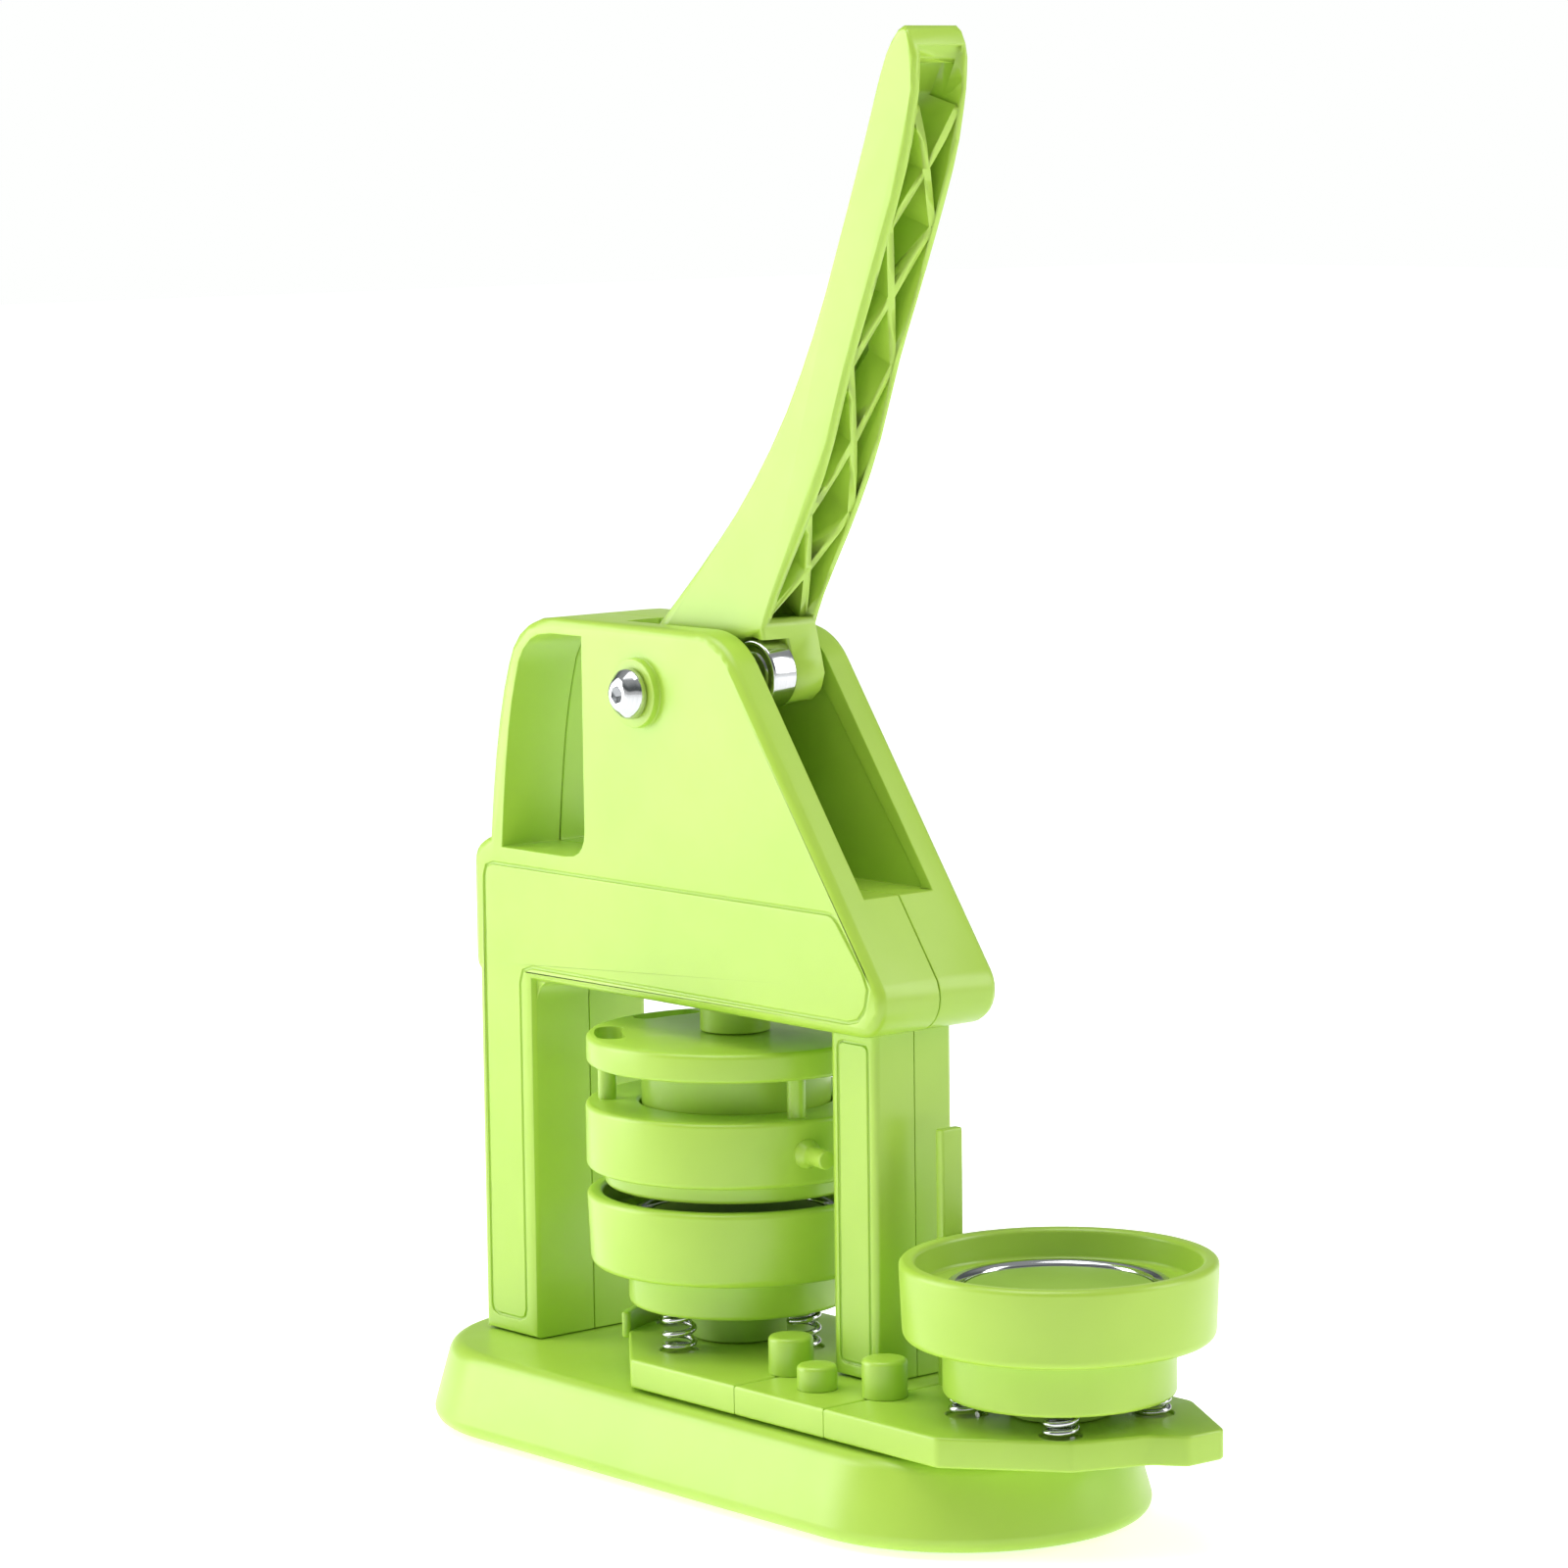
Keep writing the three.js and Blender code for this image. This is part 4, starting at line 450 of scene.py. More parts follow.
def plate(outline: np.ndarray, bottom: float, top: float, edge: float = 0.0, steps: int = 5,
          axis: Axis = Axis.UP) -> Skin:
    """Carry an outline from one height to another, with rounded rims.

    At a share s of a rim's quarter turn the outline lies edge (1 - sin s) inside and edge (1 - cos s)
    from the face.

    Args:
        outline: points in counter-clockwise order, seen from the top.
        bottom: the lower height.
        top: the upper height.
        edge: the rims' radius, 0 for sharp rims.
        steps: rings on each rim.
        axis: up, or back for an outline in X and Z that is carried along +Y.

    Returns:
        The closed skin with a flat cap at each end.
    """
    turn = np.linspace(0, np.pi / 2, steps) if edge > 0 else np.array([np.pi / 2])
    inset = edge * (1 - np.sin(turn))
    rise = edge * (1 - np.cos(turn))
    rings = moved_in(outline, np.concatenate([inset, inset[::-1]]))
    height = np.concatenate([bottom + rise, (top - rise)[::-1]])
    tall = np.broadcast_to(height[:, None], rings.shape[:2])
    points = np.stack([rings[..., 0], rings[..., 1], tall], -1)
    if axis is Axis.BACK:
        points = points[..., [0, 2, 1]]
    skin = grid_skin(points, False, True)
    count, last = outline.shape[0], (len(height) - 1) * outline.shape[0]
    caps = [list(range(count))[::-1], list(range(last, last + count))]
    return Skin(skin.points, skin.faces + caps, np.vstack([skin.corners, np.zeros((2 * count, 2))]))


def oblong(left: float, right: float, front: float, rear: float) -> np.ndarray:
    """Outline an oblong whose sides lie along X and Y.

    Args:
        left: the lower X.
        right: the higher X.
        front: the lower Y.
        rear: the higher Y.

    Returns:
        The outline in counter-clockwise order.
    """
    return np.array([(left, front), (right, front), (right, rear), (left, rear)], float)


def arc_band(centre: tuple[float, float], radius: float, width: float, middle: float, half: float) -> np.ndarray:
    """Outline a band that follows a circle and has round ends.

    The outer edge runs at the radius plus half the width, the inner edge at the radius minus half,
    and a half circle joins them at each end.

    Args:
        centre: the circle's centre.
        radius: the band's middle line.
        width: the band's width.
        middle: the angle of its middle, in degrees.
        half: the angle from there to each end's centre, in degrees.

    Returns:
        The outline in counter-clockwise order.
    """
    low, high = math.radians(middle - half), math.radians(middle + half)
    sweep = np.linspace(low, high, 15)
    around = np.linspace(0, np.pi, 11)[1:-1]

    def round_end(angle: float, way: np.ndarray) -> np.ndarray:
        """Outline one round end.

        Args:
            angle: where the end's centre lies on the circle.
            way: the directions of its points, turned from that angle.

        Returns:
            The end's points.
        """
        return np.stack([radius * np.cos(angle) + width / 2 * np.cos(angle + way),
                         radius * np.sin(angle) + width / 2 * np.sin(angle + way)], -1)

    outer = (radius + width / 2) * np.stack([np.cos(sweep), np.sin(sweep)], -1)
    inner = (radius - width / 2) * np.stack([np.cos(sweep), np.sin(sweep)], -1)[::-1]
    line = np.vstack([outer, round_end(high, around), inner, round_end(low, around + np.pi)])
    return line + np.array(centre)


def coil(centre: tuple[float, float], outer: float, wire: float, turns: float, bottom: float, top: float,
         start: float = 0.0, per_turn: int = 30, around: int = 12) -> Skin:
    """Wind a compression spring with closed end coils.

    The wire's middle is at (r cos a, r sin a, h). The angle a grows evenly, and h grows by one wire a
    turn over the first and last three quarters of a turn and evenly between them. A circle of the
    wire's radius stands across that line at every step and shrinks to its middle at both ends.

    Args:
        centre: the spring's axis.
        outer: its outer radius.
        wire: the wire's diameter.
        turns: how many turns.
        bottom: its lower face.
        top: its upper face.
        start: the angle where the wire starts, in degrees.
        per_turn: steps in a turn.
        around: facets round the wire.

    Returns:
        The wire's skin.
    """
    t = np.linspace(0, turns, int(turns * per_turn))
    closed = 0.75
    low, high = bottom + wire / 2, top - wire / 2
    height = np.interp(t, [0, closed, turns - closed, turns], [low, low + closed * wire, high - closed * wire, high])
    angle = 2 * np.pi * t + math.radians(start)
    radius = outer - wire / 2
    line = np.stack([centre[0] + radius * np.cos(angle), centre[1] + radius * np.sin(angle), height], -1)
    ahead = np.gradient(line, axis=0)
    ahead /= np.linalg.norm(ahead, axis=1)[:, None]
    out = np.stack([np.cos(angle), np.sin(angle), np.zeros_like(angle)], -1)
    side = np.cross(ahead, out)
    turn = np.linspace(0, 2 * np.pi, around, endpoint=False)[None, :, None]
    circle = np.cos(turn) * out[:, None] + np.sin(turn) * side[:, None]
    size = np.concatenate([[0.0, 0.8], np.ones(len(t)), [0.8, 0.0]])[:, None, None] * wire / 2
    index = np.clip(np.arange(-2, len(t) + 2), 0, len(t) - 1)
    points = line[index][:, None] + size * circle[index]
    return grid_skin(points, False, True, line_lengths(line[index], False))


# ---------------------------------------------------------------- pieces
def tidy_mesh(mesh: bpy.types.Mesh, turn_out: bool = True) -> None:
    """Merge a mesh's doubles and turn its faces outwards.

    Args:
        mesh: the mesh, changed in place.
        turn_out: whether the normals are worked out again.
    """
    work = bmesh.new()
    work.from_mesh(mesh)
    bmesh.ops.remove_doubles(work, verts=work.verts, dist=WELD)
    bmesh.ops.dissolve_degenerate(work, edges=work.edges, dist=WELD)
    if turn_out:
        bmesh.ops.recalc_face_normals(work, faces=work.faces)
    work.to_mesh(mesh)
    work.free()


def smooth(mesh: bpy.types.Mesh, sharp: float = 38.0) -> None:
    """Shade a mesh smooth, with an edge kept where its faces meet at more than sharp degrees."""
    mesh.shade_smooth()
    mesh.set_sharp_from_angle(angle=math.radians(sharp))


def object_from(name: str, skins: list[Skin]) -> bpy.types.Object:
    """Make one mesh object from skins.

    Args:
        name: the object's name.
        skins: closed surfaces that don't touch, or that lie in each other.

    Returns:
        The object, at the origin, with its map named surface.
    """
    shift = np.cumsum([0] + [len(skin.points) for skin in skins])
    points = np.vstack([skin.points for skin in skins]) * MM
    faces = [[index + int(base) for index in face] for skin, base in zip(skins, shift) for face in skin.faces]
    mesh = bpy.data.meshes.new(name)
    mesh.from_pydata(points.tolist(), [], faces)
    layer = mesh.uv_layers.new(name="surface")
    layer.data.foreach_set("uv", np.vstack([skin.corners for skin in skins]).astype(np.float32).ravel())
    tidy_mesh(mesh)
    smooth(mesh)
    made = bpy.data.objects.new(name, mesh)
    bpy.context.scene.collection.objects.link(made)
    return made


def carve(piece: bpy.types.Object, cutters: list[Skin]) -> None:
    """Cut closed skins out of a piece and keep the result as its mesh.

    Args:
        piece: the piece.
        cutters: what is cut away.
    """
    tools = [object_from(f"{piece.name}_cutter_{i}", [skin]) for i, skin in enumerate(cutters)]
    for tool in tools:
        modifier = piece.modifiers.new("cut", "BOOLEAN")
        modifier.operation = "DIFFERENCE"
        modifier.solver = "EXACT"
        modifier.object = tool
    bpy.context.view_layer.update()
    graph = bpy.context.evaluated_depsgraph_get()
    mesh = bpy.data.meshes.new_from_object(piece.evaluated_get(graph))
    piece.modifiers.clear()
    piece.data = mesh
    tidy_mesh(mesh, turn_out=False)
    smooth(mesh)
    for tool in tools:
        bpy.data.objects.remove(tool)


@dataclass
class Workshop:
    """What every sub-assembly needs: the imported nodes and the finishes."""

    nodes: dict[str, bpy.types.Object]
    finishes: Finishes

    def finish(self, piece: bpy.types.Object, body: str, slot: Slot, *nodes: str) -> bpy.types.Object:
        """Dress a piece, set it on its body and let it stand for its nodes.

        Args:
            piece: the new piece.
            body: the body that it rides on.
            slot: its material slot.
            nodes: the nodes that it stands for.

        Returns:
            The piece.
        """
        piece.data.materials.clear()
        piece.data.materials.append(self.finishes.of(slot))
        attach(piece, body)
        if nodes:
            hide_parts(*nodes)
        LOG.info("%s: %d faces on %s", piece.name, len(piece.data.polygons), body)
        return piece

    def keep(self, slot: Slot, *nodes: str) -> None:
        """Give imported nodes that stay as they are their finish.

        Args:
            slot: the finish.
            nodes: the nodes' names.
        """
        for name in nodes:
            for holder in self.nodes[name].material_slots:
                holder.material = self.finishes.of(slot)
            LOG.info("%s: kept from the frame", name)

    def softened(self, name: str, node: str, edge: float, sharp: float) -> bpy.types.Object:
        """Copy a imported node's mesh, weld it and soften its sharp edges.

        Args:
            name: the new piece's name.
            node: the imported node.
            edge: how much of each sharp edge is rounded off, 0 for none.
            sharp: edges sharper than this many degrees are rounded.

        Returns:
            The copy, with its modifiers live.
        """
        mesh = self.nodes[node].data.copy()
        mesh.name = name
        tidy_mesh(mesh, turn_out=False)
        mesh.shade_smooth()
        mesh.set_sharp_from_angle(angle=math.radians(sharp))
        piece = bpy.data.objects.new(name, mesh)
        bpy.context.scene.collection.objects.link(piece)
        if edge > 0:
            bevel = piece.modifiers.new("soft_edges", "BEVEL")
            bevel.width = edge * MM
            bevel.segments = 2
            bevel.limit_method = "ANGLE"
            bevel.angle_limit = math.radians(sharp)
            bevel.use_clamp_overlap = False
        weigh = piece.modifiers.new("even_shading", "WEIGHTED_NORMAL")
        weigh.keep_sharp = True
        weigh.weight = 60
        return piece


def axis_of(node: str) -> tuple[float, float]:
    """Give the middle of a node's box in X and Y."""
    low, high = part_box(node)
    return ((low.x + high.x) / 2 / MM, (low.y + high.y) / 2 / MM)


def heights_of(node: str) -> tuple[float, float]:
    """Give a node's lowest and highest point."""
    low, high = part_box(node)
    return (low.z / MM, high.z / MM)


def polar(centre: tuple[float, float], radius: float, degrees: float) -> tuple[float, float]:
    """Give the point at a radius and an angle from a centre."""
    angle = math.radians(degrees)
    return (centre[0] + radius * math.cos(angle), centre[1] + radius * math.sin(angle))


# ---------------------------------------------------------------- sub-assemblies
@dataclass
class Base:
    """The stadium-shaped foot: a hollow moulding with leaning sides, a bottom plate and a rubber pad."""

    lean: float = 6.0
    edge: float = 3.4
    wall: float = 3.2
    bottom_plate: float = 2.7

    def outline_skin(self, section: np.ndarray, reach: float, columns: int = 128) -> Skin:
        """Carry a half section round a stadium.

        A section point at distance d from the middle line and height z goes to the nearer end's
        centre plus d times the outward direction, for every direction of the turn.

        Args:
            section: (distance, height) rows.
            reach: half the length between the ends' centres.
            columns: directions in the turn.

        Returns:
            The skin, open where the section is.
        """
        angle = np.linspace(-np.pi / 2, 3 * np.pi / 2, columns, endpoint=False)
        angle = np.concatenate([angle[: columns // 2], [np.pi / 2], angle[columns // 2 :], [3 * np.pi / 2]])
        end = np.where(np.arange(columns + 2) <= columns // 2, reach, -reach)
        away = section[:, :1]
        points = np.stack([
            end + away * np.cos(angle), away * np.sin(angle),
            np.broadcast_to(section[:, 1:], (len(section), len(angle)))], -1)
        return grid_skin(points, False, True)

    def build(self, shop: Workshop) -> None:
        """Make the moulding and dress what is under it."""
        low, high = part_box("base_shell")
        half = (high.y - low.y) / 2 / MM
        reach = (high.x - low.x) / 2 / MM - half
        bottom, top = low.z / MM, high.z / MM
        recess = half - self.lean - self.wall
        room = recess - 2
        section = fillet([
            (0, top), (half - self.lean, top, self.edge + 1.0), (half + 0.3, bottom, self.edge),
            (recess, bottom, 0.3), (recess, bottom + self.bottom_plate), (room, bottom + self.bottom_plate),
            (room, top - self.wall), (0, top - self.wall)], closed=False, steps=9)
        moulding = object_from("base_moulding", [self.outline_skin(section, reach)])
        shop.finish(moulding, "stand", Slot.GREEN, "base_shell")
        shop.keep(Slot.DEEP_GREEN, "base_bottom_plate")
        shop.keep(Slot.RUBBER, "anti_slip_pad")
        shop.keep(Slot.ZINC_STEEL, "leg_screw_1", "leg_screw_2")


@dataclass
class PanScrews:
    """Self-tapping screws with a low domed head and a cross recess."""

    head: float = 3.6
    head_height: float = 2.2
    shank: float = 2.0
    recess: float = 2.0
    recess_width: float = 0.9
    recess_depth: float = 1.2

    def cross(self, centre: tuple[float, float], near: float, far: float, axis: Axis) -> Skin:
        """Make the cross-shaped cutter.

        Args:
            centre: the screw's axis.
            near: one end along the axis.
            far: the other end.
            axis: which way the screw points.

        Returns:
            The cutter.
        """
        arm, half = self.recess, self.recess_width / 2
        corners = [(arm, -half), (arm, half), (half, half), (half, arm), (-half, arm), (-half, half), (-arm, half),
                   (-arm, -half), (-half, -half), (-half, -arm), (half, -arm), (half, -half)]
        return plate(np.array(corners) + np.array(centre), near, far, axis=axis)

    def build_row(self, shop: Workshop, names: list[str], axis: Axis) -> None:
        """Make each screw in place of its node.

        Args:
            shop: the workshop.
            names: the nodes.
            axis: back for screws whose heads face the rear, up for screws whose heads face the table.
        """
        for name in names:
            low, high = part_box(name)
            across = low.z + high.z if axis is Axis.BACK else low.y + high.y
            centre = ((low.x + high.x) / 2 / MM, across / 2 / MM)
            tip, face = (low.y / MM, high.y / MM) if axis is Axis.BACK else (high.z / MM, low.z / MM)
            way = 1.0 if axis is Axis.BACK else -1.0
            height = self.head_height if axis is Axis.BACK else 0.8
            under = face - way * height
            skin = turned([(0, tip), (self.shank * 0.55, tip, 0.3), (self.shank, tip + way * 3, 0.8),
                           (self.shank, under), (self.head, under, 0.3), (self.head, face - way * 0.1, 0.6 * height),
                           (0, face)], centre, closed=False, axis=axis, around=40)
            screw = object_from(f"{name}_turned", [skin])
            deep = min(self.recess_depth, height * 0.75)
            ends = sorted([face - way * deep, face + way * 1])
            carve(screw, [self.cross(centre, ends[0], ends[1], axis)])
            shop.finish(screw, "stand", Slot.ZINC_STEEL, name)


@dataclass
class Frame:
    """The arched housing: two mirrored shells with soft edges, and the nylon guide of the ram."""

    soft_edge: float = 0.3
    sharp: float = 50.0

    def build(self, shop: Workshop) -> None:
        """Make both shells and the guide."""
        for side in ("front", "rear"):
            node = f"frame_{side}_shell"
            shell = shop.softened(f"frame_{side}_moulding", node, self.soft_edge, self.sharp)
            shop.finish(shell, "stand", Slot.GREEN, node)
        low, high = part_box("ram_guide")
        centre = axis_of("ram_guide")
        flange = (high.x - low.x) / 2 / MM
        sleeve, bore = flange - 4, flange - 6.5
        bottom, top = low.z / MM, high.z / MM
        guide = object_from("ram_bushing", [turned([
            (bore, bottom, 0.5), (sleeve, bottom, 0.5), (sleeve, bottom + 4.3), (flange, bottom + 4.3, 0.3),
            (flange, bottom + 7.3, 0.3), (sleeve, bottom + 7.3), (sleeve, top, 0.4), (bore, top, 0.4)], centre)])
        shop.finish(guide, "stand", Slot.NYLON, "ram_guide")


@dataclass
class Lever:
    """The ribbed hand lever with its pivot bolt, nut, bush, roller and roller pin."""

    soft_edge: float = 0.0  # the arm's edges are rounded in its own form
    sharp: float = 50.0
    socket: float = 2.6  # half width of the bolt's hexagonal socket, corner to corner
    nut: float = 7.5  # the same of its nut

    def build(self, shop: Workshop) -> None:
        """Make the arm and everything on its two axes."""
        arm = shop.softened("lever_moulding", "lever_arm", self.soft_edge, self.sharp)
        shop.finish(arm, "lever", Slot.GREEN, "lever_arm")
        self.build_bolt(shop)
        self.build_roller(shop)

    def cross_axis(self, node: str) -> tuple[tuple[float, float], float, float, float]:
        """Read the axis of a node that lies along Y.

        Args:
            node: the node's name.

        Returns:
            Its (x, z), its front and rear ends and its radius.
        """
        low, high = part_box(node)
        centre = ((low.x + high.x) / 2 / MM, (low.z + high.z) / 2 / MM)
        return centre, low.y / MM, high.y / MM, (high.x - low.x) / 2 / MM

    def build_bolt(self, shop: Workshop) -> None:
        """Make the domed bolt with its hexagonal socket, the nut behind it and the bush round it."""
        centre, front, rear, head = self.cross_axis("pivot_bolt")
        shank, tall = 4.0, 5.0
        under = front + tall
        bolt = object_from("pivot_bolt_turned", [turned([
            (0, front), (head * 0.55, front, 3.0), (head, front + 3.0, 3.2), (head, under, 0.3),
            (shank, under), (shank, rear, 0.6), (0, rear)], centre, closed=False, axis=Axis.BACK, around=72)])
        turn = np.arange(6) * np.pi / 3 + 0.3
        socket = np.stack([centre[0] + self.socket * np.cos(turn), centre[1] + self.socket * np.sin(turn)], -1)
        carve(bolt, [plate(socket, front - 1, front + 2.0, axis=Axis.BACK)])
        shop.finish(bolt, "stand", Slot.BRIGHT_STEEL, "pivot_bolt")
        centre, front, rear, _ = self.cross_axis("pivot_nut")
        corners = [(centre[0] + self.nut * math.cos(a), centre[1] + self.nut * math.sin(a), 0.5)
                   for a in np.arange(6) * np.pi / 3 + np.pi / 6]
        nut = object_from("pivot_nut_milled", [plate(fillet(corners), front, rear, 0.6, axis=Axis.BACK)])
        shop.finish(nut, "stand", Slot.BRIGHT_STEEL, "pivot_nut")
        centre, front, rear, outer = self.cross_axis("lever_bush")
        bush = object_from("lever_bush_turned", [turned([
            (shank + 0.3, front, 0.2), (outer, front, 0.3), (outer, rear, 0.3), (shank + 0.3, rear, 0.2)],
            centre, axis=Axis.BACK, around=64)])
        shop.finish(bush, "lever", Slot.ZINC_STEEL, "lever_bush")

    def build_roller(self, shop: Workshop) -> None:
        """Make the bright roller and the pin that it turns on."""
        centre, front, rear, radius = self.cross_axis("roller")
        roller = object_from("roller_turned", [turned([
            (3.3, front, 0.3), (5.6, front, 0.2), (6.2, front + 0.4, 0.2), (7.4, front + 0.4, 0.2),
            (8.0, front, 0.2), (radius, front, 0.8), (radius, rear, 0.8), (8.0, rear, 0.2),
            (7.4, rear - 0.4, 0.2), (6.2, rear - 0.4, 0.2), (5.6, rear, 0.2), (3.3, rear, 0.3)],
            centre, axis=Axis.BACK, around=96)])
        shop.finish(roller, "roller", Slot.BRIGHT_STEEL, "roller")
        centre, front, rear, radius = self.cross_axis("roller_pin")
        pin = object_from("roller_pin_turned", [turned([
            (0, front), (radius, front, 0.5), (radius, rear, 0.5), (0, rear)],
            centre, closed=False, axis=Axis.BACK, around=48)])
        shop.finish(pin, "lever", Slot.ZINC_STEEL, "roller_pin")


@dataclass
class Ram:
    """The sprung ram with the upper die under it: top disc, hollow boss and pressing face."""

    shaft: float = 9.6
    disc: float = 40.6
    boss: float = 25.8
    boss_bore: float = 20.5
    screw_bore: float = 2.8
    post_circle: float = 35.2
    post_pocket: float = 6.0
    ring_turn: float = 40.0
    first_post: float = -13.0
    sight_circle: float = 34.6
    sight_width: float = 7.6
    sight_angles: tuple[float, ...] = (-127.0, 174.0)
    sight_half: float = 11.0
    disc_height: float = 7.9

    def build(self, shop: Workshop) -> None:
        """Make the ram, its spring, the disc and the pressing face."""
        centre = axis_of("ram_plunger")
        bottom, top = heights_of("ram_plunger")
        low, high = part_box("ram_plunger")
        head = (high.x - low.x) / 2 / MM
        plunger = object_from("ram_turned", [turned([
            (0, bottom + 21.7), (self.screw_bore, bottom + 21.7), (self.screw_bore, bottom),
            (self.shaft, bottom, 0.4), (self.shaft, top - 7, 0.5), (head, top - 7, 0.8), (head, top, 1.2),
            (self.shaft + 0.3, top, 0.2),
            (self.shaft + 0.3, top - 2.7), (0, top - 2.7)], centre, closed=False)])
        shop.finish(plunger, "ram", Slot.GREEN, "ram_plunger")
        disc_low, disc_high = heights_of("ram_wear_disc")
        wear = object_from("wear_disc_turned", [turned([
            (0, disc_low), (self.shaft, disc_low, 0.2), (self.shaft, disc_high, 0.5), (0, disc_high)], centre,
            closed=False)])
        shop.finish(wear, "ram", Slot.ZINC_STEEL, "ram_wear_disc")
        guide_top = heights_of("ram_guide")[1]
        spring = object_from("ram_return_coil", [coil(
            centre, head - 0.3, 1.9, 6, guide_top + 0.3, top - 7.3)])
        shop.finish(spring, "ram", Slot.BRIGHT_STEEL, "ram_return_spring")
        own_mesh(spring)
        self.build_disc(shop, centre)
        self.build_face(shop, centre)

    def build_disc(self, shop: Workshop, centre: tuple[float, float]) -> None:
        """Make the top disc with its boss, cut its sight slots and the pockets of the ring's posts.

        Args:
            shop: the workshop.
            centre: the ram's axis.
        """
        boss_end, top = heights_of("upper_die_disc")
        under = top - self.disc_height
        disc = object_from("upper_disc_turned", [turned([
            (self.screw_bore, under), (self.boss_bore, under, 0.6), (self.boss_bore, boss_end, 0.6),
            (self.boss, boss_end, 1.0), (self.boss, under, 1.2), (self.disc, under, 1.3), (self.disc, top, 1.5),
            (self.screw_bore, top)], centre, around=144)])
        pockets = [plate(arc_band(centre, self.post_circle, 6.0, self.first_post + way + self.ring_turn / 2,
                                  self.ring_turn / 2), under - 1, under + self.post_pocket)
                   for way in (0, 120, 240)]
        slots = [plate(arc_band(centre, self.sight_circle, self.sight_width, middle, self.sight_half),
                       under - 1, top + 1) for middle in self.sight_angles]
        carve(disc, pockets + slots)
        shop.finish(disc, "ram", Slot.GREEN, "upper_die_disc")

    def build_face(self, shop: Workshop, centre: tuple[float, float]) -> None:
        """Make the pressing face and its stem.

        Args:
            shop: the workshop.
            centre: the ram's axis.
        """
        low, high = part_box("upper_die_core")
        face, top, radius = low.z / MM, high.z / MM, (high.x - low.x) / 2 / MM
        core = object_from("pressing_face_turned", [turned([
            (self.screw_bore, face + 3.4), (5.2, face + 3.4), (5.2, face, 0.4), (radius, face, 0.9),
            (radius, face + 6.4, 0.3), (self.shaft, face + 6.4), (self.shaft, top, 0.3), (self.screw_bore, top)],
            centre)])
        shop.finish(core, "ram", Slot.DEEP_GREEN, "upper_die_core")
        shop.keep(Slot.ZINC_STEEL, "upper_die_screw")


@dataclass
class CrimpRing:
    """The sprung crimp ring round the upper die: wall, lip, inner web, three posts and a side peg."""

    radius: float = 41.0
    lip: float = 36.0
    bore: float = 28.5
    seat_bore: float = 26.3
    web_bore: float = 11.6
    web: float = 2.4
    post: float = 2.5
    post_circle: float = 35.2
    first_post: float = -13.0
    peg_flare: float = 3.9

    def build(self, shop: Workshop) -> None:
        """Make the ring, the washer and the spring above its web."""
        centre = axis_of("ram_plunger")
        lip_end = heights_of("crimp_ring")[0]
        bottom = lip_end + 4.7
        top = bottom + 17.9
        web_top = top - 10
        post_top = heights_of("crimp_ring")[1]
        wall = turned([
            (self.web_bore, web_top - self.web, 0.3), (self.bore, web_top - self.web, 0.4), (self.bore, lip_end, 0.5),
            (self.lip, lip_end, 1.2), (self.lip, bottom, 1.0), (self.radius, bottom, 1.6), (self.radius, top, 1.3),
            (self.seat_bore, top, 1.0), (self.seat_bore, web_top, 0.4), (self.web_bore, web_top, 0.3)],
            centre, around=144)
        posts = [turned([(0, top - 0.8), (self.post, top - 0.8), (self.post, post_top, 0.4), (0, post_top)],
                        polar(centre, self.post_circle, self.first_post + way), closed=False, around=32)
                 for way in (0, 120, 240)]
        start = self.radius - 1.4
        peg_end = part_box("crimp_ring")[1].x / MM - centre[0]
        long = peg_end / math.cos(math.radians(self.first_post)) - start - 0.5
        peg = turned([(0, 0), (self.peg_flare, 0), (self.peg_flare, 1.8, 0.6), (self.post, 4.4, 2.0),
                      (self.post, long, 0.5), (0, long)], (0, 0), closed=False, around=36)
        angle = math.radians(self.first_post)
        turn = np.array([[0, -math.sin(angle), math.cos(angle)], [0, math.cos(angle), math.sin(angle)], [-1, 0, 0]])
        foot = polar(centre, start, self.first_post)
        side_peg = peg.turned_to(turn, (foot[0], foot[1], (top + bottom) / 2))
        ring = object_from("crimp_ring_turned", [wall, *posts, side_peg])
        shop.finish(ring, "ring", Slot.GREEN, "crimp_ring")
        low, high = heights_of("ring_thrust_washer")
        washer = object_from("thrust_washer_turned", [turned([
            (12.6, low, 0.2), (18.5, low, 0.2), (18.5, high, 0.2), (12.6, high, 0.2)], centre)])
        shop.finish(washer, "ring_seat", Slot.ZINC_STEEL, "ring_thrust_washer")
        seat, disc_under = high + 0.3, heights_of("upper_die_disc")[1] - 7.9 - 0.3
        spring = object_from("ring_coil", [coil(centre, 17.0, 2.4, 3.5, seat, disc_under)])
        shop.finish(spring, "ring_seat", Slot.BRIGHT_STEEL, "ring_spring")
        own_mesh(spring)


